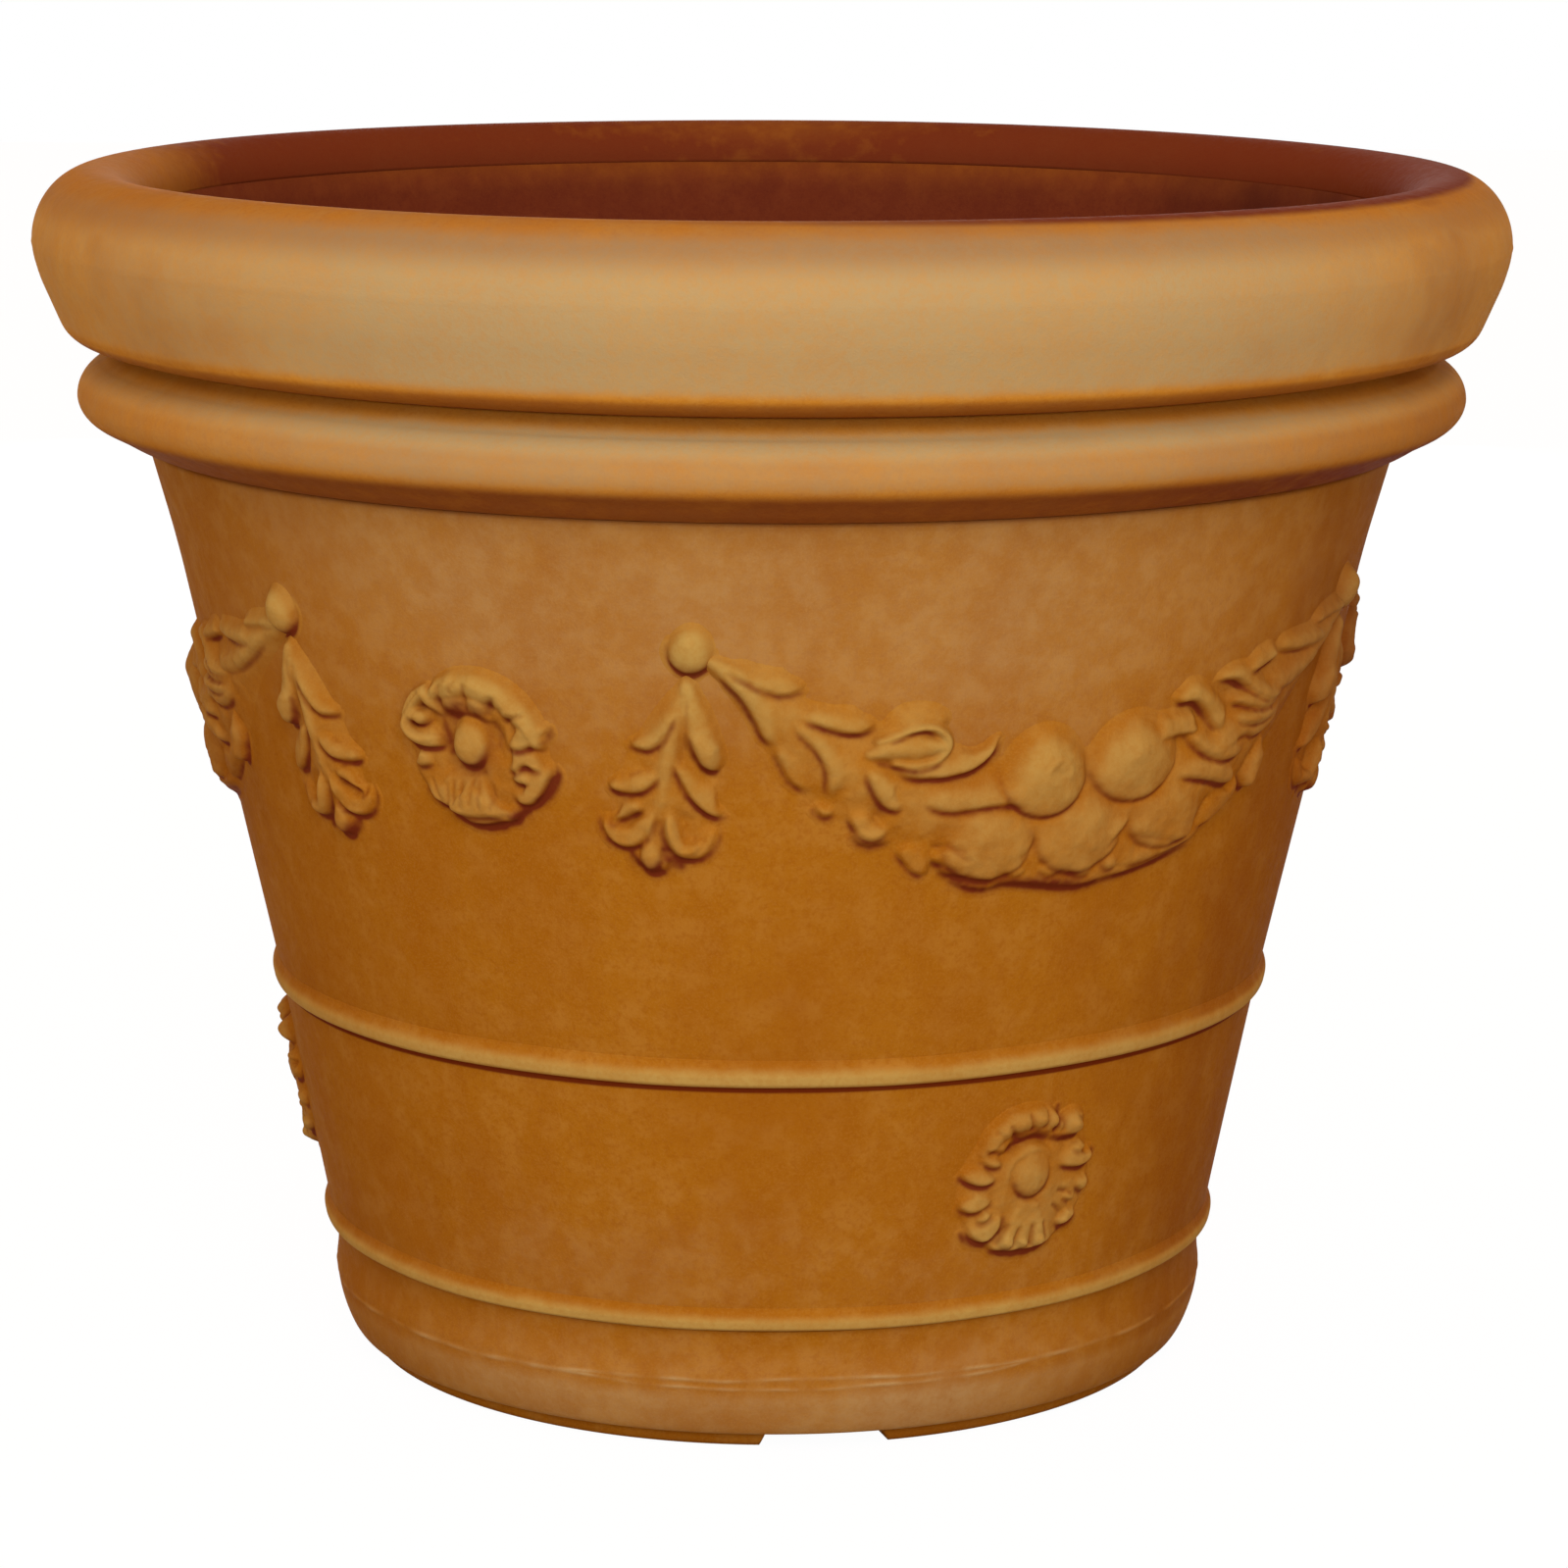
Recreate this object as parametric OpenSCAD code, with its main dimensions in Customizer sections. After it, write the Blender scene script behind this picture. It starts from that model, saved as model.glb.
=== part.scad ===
// Round garden pot with a rolled rim, a collar, two beads, a foot band, and relief
// of fruit swags, leaf drops and rosettes that repeats three times round the wall.
// Millimetres, Z up, origin on the ground under the middle of the pot.

/* [Pot] */
// Diameter over the widest part of the rolled rim
rim_d = 674; // [640:2:710]
// Height from the ground to the top of the rim
pot_h = 550; // [530:1:600]
// Diameter of the foot band at its lower edge
foot_d = 395; // [380:1:414]
// Thickness of the plastic skins
skin = 5; // [4:0.5:6]

/* [Rim and collar] */
// Width of the rim, from its widest part in to the opening
rim_w = 50; // [48:0.5:54]
// Height of the rim, from the collar to the top
rim_h = 80; // [76:1:86]
// Height of the domed top of the rim above its widest part
rim_dome_h = 32; // [29:1:35]
// How far the rim stands out past the top of the wall
rim_overhang = 50.8; // [49:0.2:54]
// Height of the collar
collar_h = 44.5; // [43:0.5:50]
// How far the collar stands out past the top of the wall
collar_proud = 31.2; // [29:0.2:35]

/* [Wall] */
// Height of the middle bead's lower edge above the ground
bead_z = 173.7; // [165:0.1:185]
// Run over rise of the wall below the middle bead
lower_slope = 0.193; // [0.17:0.001:0.21]
// Height over which the wall flares out under the collar
flare_h = 45.5; // [38:0.5:50]
// How far the wall flares out over that height
flare_w = 12.6; // [11:0.2:14]
// Height of the middle bead
bead_h = 13; // [10:0.5:16]
// Height of the lower bead
lower_bead_h = 9; // [7:0.5:11]
// How far the beads stand out from the wall
bead_proud = 3.5; // [2.5:0.1:5]
// Height of the foot band, from its lower edge to the lower bead
band_h = 50.5; // [46:0.5:54]
// How far the wall's lower edge stands out past the foot band's
wall_step = 9; // [8:0.25:11]
// How far the foot band swells out past its lower edge
band_swell = 7.6; // [6:0.1:8]

/* [Foot and drains] */
// Height of the plinth pads under the foot band
pad_h = 7.6; // [5:0.2:10]
// Width of the plinth pads, across the ring
pad_w = 22; // [16:1:30]
// How far the plinth pads are set back from the foot band's lower edge
pad_setback = 7; // [4:0.5:9]
// Angle of each gap between two plinth pads
pad_gap_angle = 15.5; // [12:0.5:20]
// How far the inner wall's lower edge is set in from the foot band's
floor_set_in = 16; // [14:0.5:24]
// Clear height of the hollow between the base and the inner floor
floor_gap = 26; // [20:1:34]
// Diameter of the drain holes
drain_d = 18; // [12:1:22]
// Width of the flanges at the ends of the drain tubes
drain_flange_w = 14; // [10:1:20]
// Radius of the circle that the drains stand on
drain_circle_r = 110; // [80:5:140]

/* [Relief] */
// Angle from the middle of a swag to the studs at its ends
stud_angle = 38.3; // [37:0.1:39.5]
// Depth of the studs below the top of the wall
stud_drop = 54.5; // [53:0.5:60]
// Radius of the round studs that the swags hang from
stud_r = 11.5; // [9:0.5:12]
// Height of the studs above the wall
stud_h = 9; // [6:0.5:10]
// Height of the fruit in the swags above the wall
fruit_h = 12; // [9:0.5:14]
// Height of the leaves and stems above the wall
leaf_h = 7; // [5:0.5:8]
// Radius of the upper rosettes
upper_rosette_r = 36.5; // [32:0.5:38]
// Depth of the upper rosettes below the studs
upper_rosette_drop = 48; // [44:1:52]
// Radius of the lower rosettes
lower_rosette_r = 36; // [32:0.5:37]
// Depth of the lower rosettes below the middle bead
lower_rosette_drop = 49; // [46:1:52]
// Height of the rosettes' buttons above their dishes
button_h = 5; // [3:0.5:6]
// Thickness of the relief along its edges
edge_h = 0.8; // [0.5:0.1:1.5]
// Clearance between the wall and everything that is seated on it
seat_gap = 0.1; // [0.05:0.05:0.2]

/* [Hidden] */
$fn = 96;

clay = [0.65, 0.40, 0.13];
raised_clay = [0.70, 0.46, 0.20];
inside_clay = [0.38, 0.19, 0.11];

// The relief repeats three times; angles are degrees from the front, towards the right
turn = 120;
swag_angle = 31.3;
pad_gap_centre = 7.8;

// Heights
band_bottom = pad_h;
base_top = band_bottom + skin;
wall_bottom = band_bottom + band_h;
collar_top = pot_h - rim_h;
wall_top = collar_top - collar_h;
flare_z = wall_top - flare_h;
stud_z = wall_top - stud_drop;
upper_rosette_z = stud_z - upper_rosette_drop;
lower_rosette_z = bead_z - lower_rosette_drop;
floor_top = base_top + floor_gap + skin;

// Radii
rim_r = rim_d / 2;
foot_r = foot_d / 2;
mouth_r = rim_r - rim_w;
wall_top_r = rim_r - rim_overhang;
wall_bottom_r = foot_r + wall_step;
bead_r = wall_bottom_r + lower_slope * (bead_z - wall_bottom);
flare_r = wall_top_r - flare_w;
pad_outer_r = foot_r - pad_setback;
pad_round = 1.5;

// The foot band ends in a flange, and the base plate fits inside it
seat_r = foot_r - 2.5 * skin;

// The collar is drawn in to a crease under the rim, and the rim rests on its top
crease_w = 11.5;
crease_r = wall_top_r + crease_w;

// The rim's lower lip: how far its round is set in and up, and its radius
lip_inset = 24.5;
lip_rise = 17;
lip_round = 13.5;

// The rim leans in below its widest part: by this much at this depth
lean_in = 3.5;
lean_depth = 16;

// The collar's round: its width, and where its widest part is above the wall's top
collar_round = 17;
collar_mid = 22.5;

// The foot band is widest at this share of its height, with this much cove above
band_crest = 0.56;
cove_depth = 1.2;
edge_round = 0.6;

// The rim's top is two rounds that meet at its crest: its widths outside and inside the
// crest, and the height of the inner round. The inner wall starts where that one ends.
crest_w = 28;
mouth_round_w = rim_w - crest_w;
mouth_round_h = 20;
mouth_z = pot_h - mouth_round_h;

// Run over rise of the wall above the bead
upper_slope = (flare_r - bead_r) / (flare_z - bead_z);

// The inner wall runs straight from the floor to the mouth, unless the outer wall comes
// nearer to it than min_hollow where that one flares: then it bends there
min_hollow = 3;
inner_foot_r = foot_r - floor_set_in;
inner_slope = (mouth_r - inner_foot_r) / (mouth_z - floor_top);
inner_flare_r = min(inner_foot_r + inner_slope * (flare_z - floor_top),
    flare_r - 2 * skin - min_hollow);
drain_tube_r = drain_d / 2 + skin;
drain_flange_r = drain_d / 2 + drain_flange_w;

// How far a hole's cutter runs past the faces that it cuts
cut = 1;

wall_line = [
    [wall_bottom, wall_bottom_r],
    [bead_z, bead_r],
    [flare_z, flare_r],
    [wall_top, wall_top_r]
];
function wall_r(z) = lookup(z, wall_line);

// A point on the wall, at an angle from the front and a height, standing out by h
function on_wall(a, z, h) =
    let (r = wall_r(z) + h)
    [r * sin(a), -r * cos(a), z];

// Points of an elliptical arc in the section plane
function arc(centre, rx, ry, from, to, n) =
    [for (k = [0:n]) let (t = from + (to - from) * k / n)
        centre + [rx * cos(t), ry * sin(t)]];

// The direction of a path at one of its points, and the path moved to its left by w
function direction(path, i) =
    let (d = path[min(i + 1, len(path) - 1)] - path[max(i - 1, 0)])
    d / norm(d);
function left_of(path, w) =
    [for (i = [0:len(path) - 1]) let (d = direction(path, i))
        path[i] + w * [-d[1], d[0]]];

// The section of a skin: its outer path, then back along its inner face, which stays
// above floor_z, between the inner corners of its two seats
function skin_section(path, floor_z, last_corner, first_corner) =
    let (inner = left_of(path, skin))
    concat(path, [last_corner],
        [for (i = [len(path) - 2:-1:1]) [inner[i][0], max(inner[i][1], floor_z)]],
        [first_corner]);

// Rolled rim: hollow, flat where it rests on the collar and on the inner wall
module rolled_rim() {
    dome = [rim_r - crest_w, pot_h - rim_dome_h];
    path = concat(
        [[crease_r - skin, collar_top], [crease_r, collar_top]],
        [[crease_r + skin, collar_top + edge_round]],
        arc([rim_r - lip_inset, collar_top + lip_rise], lip_round, lip_round, -80, -20, 5),
        [[rim_r - lean_in, dome[1] - lean_depth]],
        arc(dome, crest_w, rim_dome_h, -4, 90, 12),
        arc([dome[0], mouth_z], mouth_round_w, mouth_round_h, 100, 180, 8)
    );
    color(clay) rotate_extrude() polygon(skin_section(path, collar_top + skin,
        [mouth_r + skin, mouth_z], [crease_r - skin, collar_top + skin]));
}

// Collar moulding under the rim: hollow, resting on the top of the outer wall
module collar() {
    middle = [wall_top_r + collar_proud - collar_round, wall_top + collar_mid];
    path = concat(
        [[wall_top_r - skin, wall_top], [wall_top_r + skin / 2, wall_top]],
        [[wall_top_r + 2 * skin, wall_top + 3.6], [middle[0] + 2.5, wall_top + 8]],
        arc(middle, collar_round, collar_mid - 9, -50, 0, 5),
        arc(middle, collar_round, collar_h - collar_mid - 6, 10, 70, 6),
        [[crease_r, collar_top - edge_round], [crease_r, collar_top]]
    );
    color(clay) rotate_extrude() polygon(skin_section(path, wall_top + skin,
        [crease_r - skin, collar_top], [wall_top_r - skin, wall_top + skin]));
}

// Outer wall: two stretches with the bead between them, flared under the collar
module outer_wall() {
    outer = [for (p = wall_line) [p[1], p[0]]];
    inner = [for (i = [len(outer) - 1:-1:0]) outer[i] - [skin, 0]];
    color(clay) rotate_extrude() polygon(concat(outer, inner));
}

// A bead on the wall: undercut below, and dying into the wall above
module bead(z, h) {
    front = [for (t = [0:15:180]) let (up = z + h * (1 - cos(t)) / 2)
        [wall_r(up) + seat_gap + bead_proud * sin(t) ^ 0.7, up]];
    color(raised_clay) rotate_extrude() polygon(front);
}

module middle_bead() {
    bead(bead_z, bead_h);
}

module lower_bead() {
    bead(wall_bottom, lower_bead_h);
}

// Foot band: a low swelling with a small cove under the lower bead
module foot_band() {
    crest_z = band_bottom + band_h * band_crest;
    rest = wall_bottom - crest_z - 2 * edge_round;
    swell = [for (t = [0:0.125:1])
        [foot_r + band_swell * sin(90 * t) ^ 0.8,
        band_bottom + edge_round + (crest_z - band_bottom) * t]];
    cove = [for (t = [0.25:0.25:1])
        [foot_r + band_swell - cove_depth * sin(150 * t) + (wall_step - band_swell) * t * t,
        crest_z + edge_round + rest * t]];
    path = concat([[seat_r, band_bottom], [foot_r - 2 * edge_round, band_bottom]], swell,
        cove, [[wall_bottom_r, wall_bottom]]);
    color(clay) rotate_extrude() polygon(skin_section(path, base_top,
        [wall_bottom_r - skin, wall_bottom], [seat_r, base_top]));
}

// The three drains stand over the gaps in the plinth
module at_drains() {
    for (k = [0:2]) rotate([0, 0, pad_gap_centre + turn * k])
        translate([0, -drain_circle_r, 0]) children();
}

// Base plate that closes the pot underneath, inside the foot band's flange
module base_plate() {
    color(clay) difference() {
        translate([0, 0, band_bottom]) cylinder(r = seat_r, h = skin);
        at_drains() translate([0, 0, band_bottom - cut])
            cylinder(r = drain_flange_r, h = skin + 2 * cut);
    }
}

// Plinth pad: one stretch of the low ring that the pot stands on
module plinth_pad(k) {
    start = pad_gap_centre + pad_gap_angle / 2 + turn * k - 90;
    color(clay) rotate([0, 0, start]) rotate_extrude(angle = turn - pad_gap_angle)
        polygon([
            [pad_outer_r - pad_w, 0], [pad_outer_r - pad_round, 0],
            [pad_outer_r, pad_round],
            [pad_outer_r, pad_h], [pad_outer_r - pad_w, pad_h]
        ]);
}

// Inner wall: the liner that holds the soil
module inner_wall() {
    color(inside_clay) rotate_extrude() polygon([
        [inner_foot_r, floor_top], [inner_foot_r + skin, floor_top],
        [inner_flare_r + skin, flare_z], [mouth_r + skin, mouth_z],
        [mouth_r, mouth_z], [inner_flare_r, flare_z]
    ]);
}

module inner_floor() {
    color(inside_clay) difference() {
        translate([0, 0, floor_top - skin]) cylinder(r = inner_foot_r + skin, h = skin);
        at_drains() translate([0, 0, floor_top - skin - cut])
            cylinder(r = drain_flange_r, h = skin + 2 * cut);
    }
}

// Drain tube: joins the inner floor to the base and carries water through the hollow.
// Its two flanges fill the holes in the plates.
module drain_tube(k) {
    inside = drain_d / 2;
    color(inside_clay) rotate([0, 0, pad_gap_centre + turn * k])
        translate([0, -drain_circle_r, 0]) rotate_extrude() polygon([
            [inside, band_bottom], [drain_flange_r, band_bottom],
            [drain_flange_r, base_top], [drain_tube_r, base_top],
            [drain_tube_r, floor_top - skin], [drain_flange_r, floor_top - skin],
            [drain_flange_r, floor_top], [inside, floor_top]
        ]);
}

// Relief, drawn at the front of the wall in degrees from the middle of each piece and
// millimetres from the studs. The swag's angles are for studs at drawn_angle.
drawn_angle = 38.3;
hang_angle = 36.9;
swag_stretch = stud_angle / drawn_angle;

// Height of a dome with centre [angle, height], half sizes [w, v] and rise h
function dome(a, z, centre, w, v, h) =
    let (dx = (a - centre[0]) * wall_r(z) * PI / 180 / w, dz = (z - centre[1]) / v,
        q = 1 - dx * dx - dz * dz)
    q > 0 ? h * sqrt(q) : 0;

// Point at t along a bent stem through three points
function bent(p, q, r, t) = (1 - t) * (1 - t) * p + 2 * t * (1 - t) * q + t * t * r;

// Height of a leaf: domes strung along a bent stem, widest in the middle
leaf_steps = 6;
function leaf(a, z, p, q, r, w, h) =
    max([for (k = [0:leaf_steps])
        let (t = k / leaf_steps, s = w * (0.5 + 0.5 * sin(180 * t)))
        dome(a, z, bent(p, q, r, t), s, s, h * (0.7 + 0.3 * sin(180 * t)))]);

// Fruit in the swag: angle, height, half width, half height, share of fruit_h
fruit = [
    [-5, -58, 20, 21, 1],
    [5, -56, 23, 20, 1],
    [-11, -87, 22, 18, 0.85],
    [-1, -88, 20, 19, 0.95],
    [9.5, -85, 24, 16, 0.9],
    [-21.9, -79, 10, 10, 0.75],
    [-26.5, -71, 4, 4, 0.45]
];

// Leaves in the swag: three [angle, height] points, half width, share of leaf_h
leaves = [
    [[-36.6, -13], [-32.5, -17], [-28.2, -18], 4.5, 0.7],
    [[-36.4, -14], [-33.5, -26], [-32.1, -41], 5.5, 0.85],
    [[-33.5, -19], [-27.5, -28], [-21.2, -32], 7, 0.85],
    [[-28.5, -31], [-22.5, -41], [-16.3, -45], 8, 1],
    [[-30.5, -29], [-27.5, -44], [-26, -65], 7.5, 0.85],
    [[-24.5, -44], [-22, -57], [-20.2, -69], 7, 1.15],
    [[-19.5, -51], [-14.5, -58], [-9.5, -42], 7, 1.15],
    [[-20.5, -64], [-14.5, -68], [-8.5, -69], 7, 1.15],
    [[-20.5, -81], [-18.5, -91], [-16.5, -99], 6, 0.85],
    [[-17.5, -101], [-13.5, -107], [-6.5, -108], 6, 1],
    [[-7.5, -105], [-0.5, -111], [5.5, -108], 6, 1],
    [[4.5, -101], [10.5, -104], [18.5, -99], 6, 0.85],
    [[10.5, -47], [14.5, -57], [20.5, -60], 7, 1.15],
    [[11.5, -66], [15.5, -70], [20.5, -70], 6.5, 1],
    [[7.5, -39], [12.5, -37], [15.5, -54], 7, 1.15],
    [[15.5, -31], [19.5, -33], [24.5, -39], 6, 1.15],
    [[17.5, -46], [21.5, -54], [25.5, -47], 7, 1.15],
    [[24.5, -57], [25, -69], [23.5, -79], 6, 0.85],
    [[17.5, -79], [19.5, -85], [17.5, -94], 7, 0.85],
    [[19.5, -26], [24, -23], [28.5, -20], 5, 0.85],
    [[25.5, -39], [29.5, -33], [32.5, -24], 6, 0.7],
    [[26.5, -27], [31.5, -19], [36.4, -13.5], 4.5, 0.9]
];

// Lower and upper edge of the swag, as heights at angles from its middle
swag_low = [
    [-hang_angle, -stud_r - 4], [-33.5, -36], [-32, -44], [-29, -58], [-26, -76], [-22, -91],
    [-18, -104], [-12, -113], [-5, -112], [0, -116], [8, -111], [14, -106],
    [18.5, -101], [22, -88], [25, -80], [27.5, -62], [29.5, -42], [33, -28],
    [hang_angle, -stud_r - 4]
];
swag_high = [
    [-hang_angle, -stud_r], [-28, -13], [-22, -24], [-16, -33], [-8, -34], [-2, -34],
    [4, -33], [10, -32], [15, -26], [20, -22], [26, -16], [32, -13],
    [hang_angle, -stud_r]
];

// Leaves of a drop, which leans to the left of its stud, in the same form
drop_leaves = [
    [[-0.1, -14], [-0.6, -50], [-4.6, -96], 4, 0.7],
    [[-0.4, -18], [1, -36], [1.6, -50], 5.5, 0.85],
    [[-1.4, -26], [-3, -38], [-5, -42], 4.5, 0.85],
    [[-1.4, -46], [1, -60], [1.8, -71], 6, 0.85],
    [[-2.6, -48], [-5, -58], [-7.4, -61], 6, 1],
    [[-3.6, -66], [-6, -77], [-7.8, -84], 7, 1.15],
    [[-2.4, -72], [-0.4, -80], [-0.8, -88], 7.5, 1.15],
    [[-4.4, -84], [-4.6, -90], [-4.6, -95], 6, 1]
];
drop_low = [
    [-9, -84], [-8, -89], [-7, -92], [-6, -97], [-4.6, -101], [-3, -98],
    [-1.5, -95], [0, -94], [1.3, -88], [2.6, -76]
];
drop_high = [
    [-9, -74], [-8, -58], [-6.2, -42], [-5, -36], [-3, -27], [-1.2, -15],
    [-0.6, -stud_r - 1], [0.4, -stud_r - 1], [1.4, -24], [2.6, -46]
];

// A panel of relief seated on the wall, between two edges that are heights at angles
module relief_panel(columns, rows, stretch, low, high, field) {
    first = low[0][0];
    width = low[len(low) - 1][0] - first;
    function drawn(i) = first + width * i / columns;
    function at(i) = drawn(i) * stretch;
    function from(i) = stud_z + lookup(drawn(i), low);
    function to(i) = stud_z + lookup(drawn(i), high);
    function rise(i, j, z) =
        (i == 0 || i == columns || j == 0 || j == rows) ? 0 : field(drawn(i), z);
    front = [for (i = [0:columns]) for (j = [0:rows])
        let (z = from(i) + (to(i) - from(i)) * j / rows)
        on_wall(at(i), z, seat_gap + edge_h + rise(i, j, z))];
    back = [for (i = [0:columns]) for (z = [from(i), to(i)]) on_wall(at(i), z, seat_gap)];
    function f(i, j) = i * (rows + 1) + j;
    function b(i, top) = len(front) + 2 * i + top;
    span = [0:columns - 1];
    faces = concat(
        [for (i = span) for (j = [0:rows - 1]) each [
            [f(i, j), f(i, j + 1), f(i + 1, j + 1)],
            [f(i, j), f(i + 1, j + 1), f(i + 1, j)]]],
        [for (i = span) each [
            [b(i, 0), b(i + 1, 0), b(i + 1, 1)],
            [b(i, 0), b(i + 1, 1), b(i, 1)],
            [f(i, 0), f(i + 1, 0), b(i + 1, 0)],
            [f(i, 0), b(i + 1, 0), b(i, 0)],
            [f(i + 1, rows), f(i, rows), b(i, 1)],
            [f(i + 1, rows), b(i, 1), b(i + 1, 1)]]],
        [[b(0, 0), b(0, 1), f(0, rows)], [b(columns, 0), f(columns, rows), b(columns, 1)]],
        [for (j = [0:rows - 1]) each [
            [b(0, 0), f(0, j + 1), f(0, j)],
            [b(columns, 0), f(columns, j), f(columns, j + 1)]]]
    );
    polyhedron(points = concat(front, back), faces = faces);
}

// Swag of fruit and leaves that hangs between two studs
module swag(k) {
    field = function (a, z) max(concat(
        [for (q = fruit)
            dome(a, z, [q[0], stud_z + q[1]], q[2], q[3], q[4] * fruit_h)],
        [for (q = leaves)
            leaf(a, z, q[0] + [0, stud_z], q[1] + [0, stud_z], q[2] + [0, stud_z],
                q[3], q[4] * leaf_h)]));
    color(raised_clay) rotate([0, 0, swag_angle + turn * k])
        relief_panel(70, 12, swag_stretch, swag_low, swag_high, field);
}

// Drop of leaves under a stud; the one on a swag's right is the mirror image
module drop(k, side) {
    field = function (a, z) max([for (q = drop_leaves)
        leaf(a, z, q[0] + [0, stud_z], q[1] + [0, stud_z], q[2] + [0, stud_z],
            q[3], q[4] * leaf_h)]);
    color(raised_clay) rotate([0, 0, swag_angle + side * stud_angle + turn * k])
        mirror([side > 0 ? 1 : 0, 0, 0])
            relief_panel(12, 18, 1, drop_low, drop_high, field);
}

// Round stud: a domed knob with a flat back, square to the sloping wall
module stud(k, side) {
    lean = atan(upper_slope);
    dome = [for (t = [0:10:90]) [stud_r * cos(t), stud_h * sin(t)]];
    color(raised_clay) rotate([0, 0, swag_angle + side * stud_angle + turn * k])
        translate(on_wall(0, stud_z, seat_gap)) rotate([90 + lean, 0, 0])
            rotate_extrude() polygon(concat([[0, 0]], dome));
}

// Rosette: a button in a dish of eight petals with a raised, notched lip
petals = 8;
points_per_petal = 5;
module rosette(z0, radius, lip_h) {
    count = petals * points_per_petal;
    rings = [0.13, 0.23, 0.34, 0.6, 0.86, 1];
    function petal(t) = abs(sin(petals * t / 2 + 90));
    function ring_h(k, t) =
        k == 0 ? button_h * 0.9 :
        k == 1 ? button_h * 0.35 :
        k == 2 ? 0.1 * lip_h :
        k == 3 ? lip_h * (0.3 + 0.2 * petal(t)) :
        k == 4 ? lip_h * (0.6 + 0.4 * petal(t)) : 0;
    function reach(k, t) = radius * rings[k] * (k > 2 ? 0.93 + 0.07 * petal(t) : 1);
    function place(x, z, h) = on_wall(x / wall_r(z0) * 180 / PI, z0 + z, h);
    function turned(j) = 360 * j / count;
    last = len(rings) - 1;
    front = [for (k = [0:last]) for (j = [0:count - 1])
        let (t = turned(j), p = reach(k, t))
        place(p * cos(t), p * sin(t), seat_gap + edge_h + ring_h(k, t))];
    back = [for (j = [0:count - 1]) let (t = turned(j), p = reach(last, t))
        place(p * cos(t), p * sin(t), seat_gap)];
    centre = place(0, 0, seat_gap + edge_h + button_h);
    function f(k, j) = k * count + j % count;
    function b(j) = (last + 1) * count + j % count;
    around = [0:count - 1];
    faces = concat(
        [for (j = around) [(last + 2) * count, f(0, j + 1), f(0, j)]],
        [for (k = [0:last - 1]) for (j = around) each [
            [f(k, j), f(k, j + 1), f(k + 1, j + 1)],
            [f(k, j), f(k + 1, j + 1), f(k + 1, j)]]],
        [for (j = around) [f(last, j), f(last, j + 1), b(j + 1), b(j)]],
        [for (j = [0:count / 2 - 1]) [b(j), b(j + 1), b(count - j - 1), b(count - j)]]
    );
    polyhedron(points = concat(front, back, [centre]), faces = faces);
}

module upper_rosette(k) {
    color(raised_clay) rotate([0, 0, swag_angle - turn / 2 + turn * k])
        rosette(upper_rosette_z, upper_rosette_r, leaf_h);
}

module lower_rosette(k) {
    color(raised_clay) rotate([0, 0, swag_angle + turn * k])
        rosette(lower_rosette_z, lower_rosette_r, leaf_h * 0.75);
}

rolled_rim();
collar();
outer_wall();
middle_bead();
lower_bead();
foot_band();
base_plate();
plinth_pad(0);  // plinth_pad_1
plinth_pad(1);  // plinth_pad_2
plinth_pad(2);  // plinth_pad_3
inner_wall();
inner_floor();
drain_tube(0);  // drain_tube_1
drain_tube(1);  // drain_tube_2
drain_tube(2);  // drain_tube_3
swag(0);  // swag_1
swag(1);  // swag_2
swag(2);  // swag_3
stud(0, -1);  // stud_left_1
stud(1, -1);  // stud_left_2
stud(2, -1);  // stud_left_3
stud(0, 1);  // stud_right_1
stud(1, 1);  // stud_right_2
stud(2, 1);  // stud_right_3
drop(0, -1);  // drop_left_1
drop(1, -1);  // drop_left_2
drop(2, -1);  // drop_left_3
drop(0, 1);  // drop_right_1
drop(1, 1);  // drop_right_2
drop(2, 1);  // drop_right_3
upper_rosette(0);  // upper_rosette_1
upper_rosette(1);  // upper_rosette_2
upper_rosette(2);  // upper_rosette_3
lower_rosette(0);  // lower_rosette_1
lower_rosette(1);  // lower_rosette_2
lower_rosette(2);  // lower_rosette_3
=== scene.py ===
"""Looks of a round garden pot with fruit swags, leaf drops and rosettes in relief.
Lengths are in millimetres until a mesh is made, angles are degrees from the front, to
the right, and the pot stands on the ground at its middle."""
import math

import bpy
import numpy as np
from mathutils import Matrix


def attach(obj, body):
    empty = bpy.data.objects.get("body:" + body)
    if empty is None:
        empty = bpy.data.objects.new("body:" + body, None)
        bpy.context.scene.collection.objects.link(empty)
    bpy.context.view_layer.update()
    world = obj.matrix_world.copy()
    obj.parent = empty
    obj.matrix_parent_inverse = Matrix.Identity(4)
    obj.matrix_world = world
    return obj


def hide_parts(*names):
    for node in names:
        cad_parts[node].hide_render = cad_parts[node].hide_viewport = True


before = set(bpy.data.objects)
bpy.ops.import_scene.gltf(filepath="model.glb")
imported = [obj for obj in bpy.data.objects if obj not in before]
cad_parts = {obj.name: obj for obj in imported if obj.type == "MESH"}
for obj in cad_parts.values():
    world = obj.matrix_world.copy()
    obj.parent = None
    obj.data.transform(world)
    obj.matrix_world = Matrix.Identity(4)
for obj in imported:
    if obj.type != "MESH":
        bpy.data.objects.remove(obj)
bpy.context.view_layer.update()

MM = 0.001
TURN = 120
COPIES = 3

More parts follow.
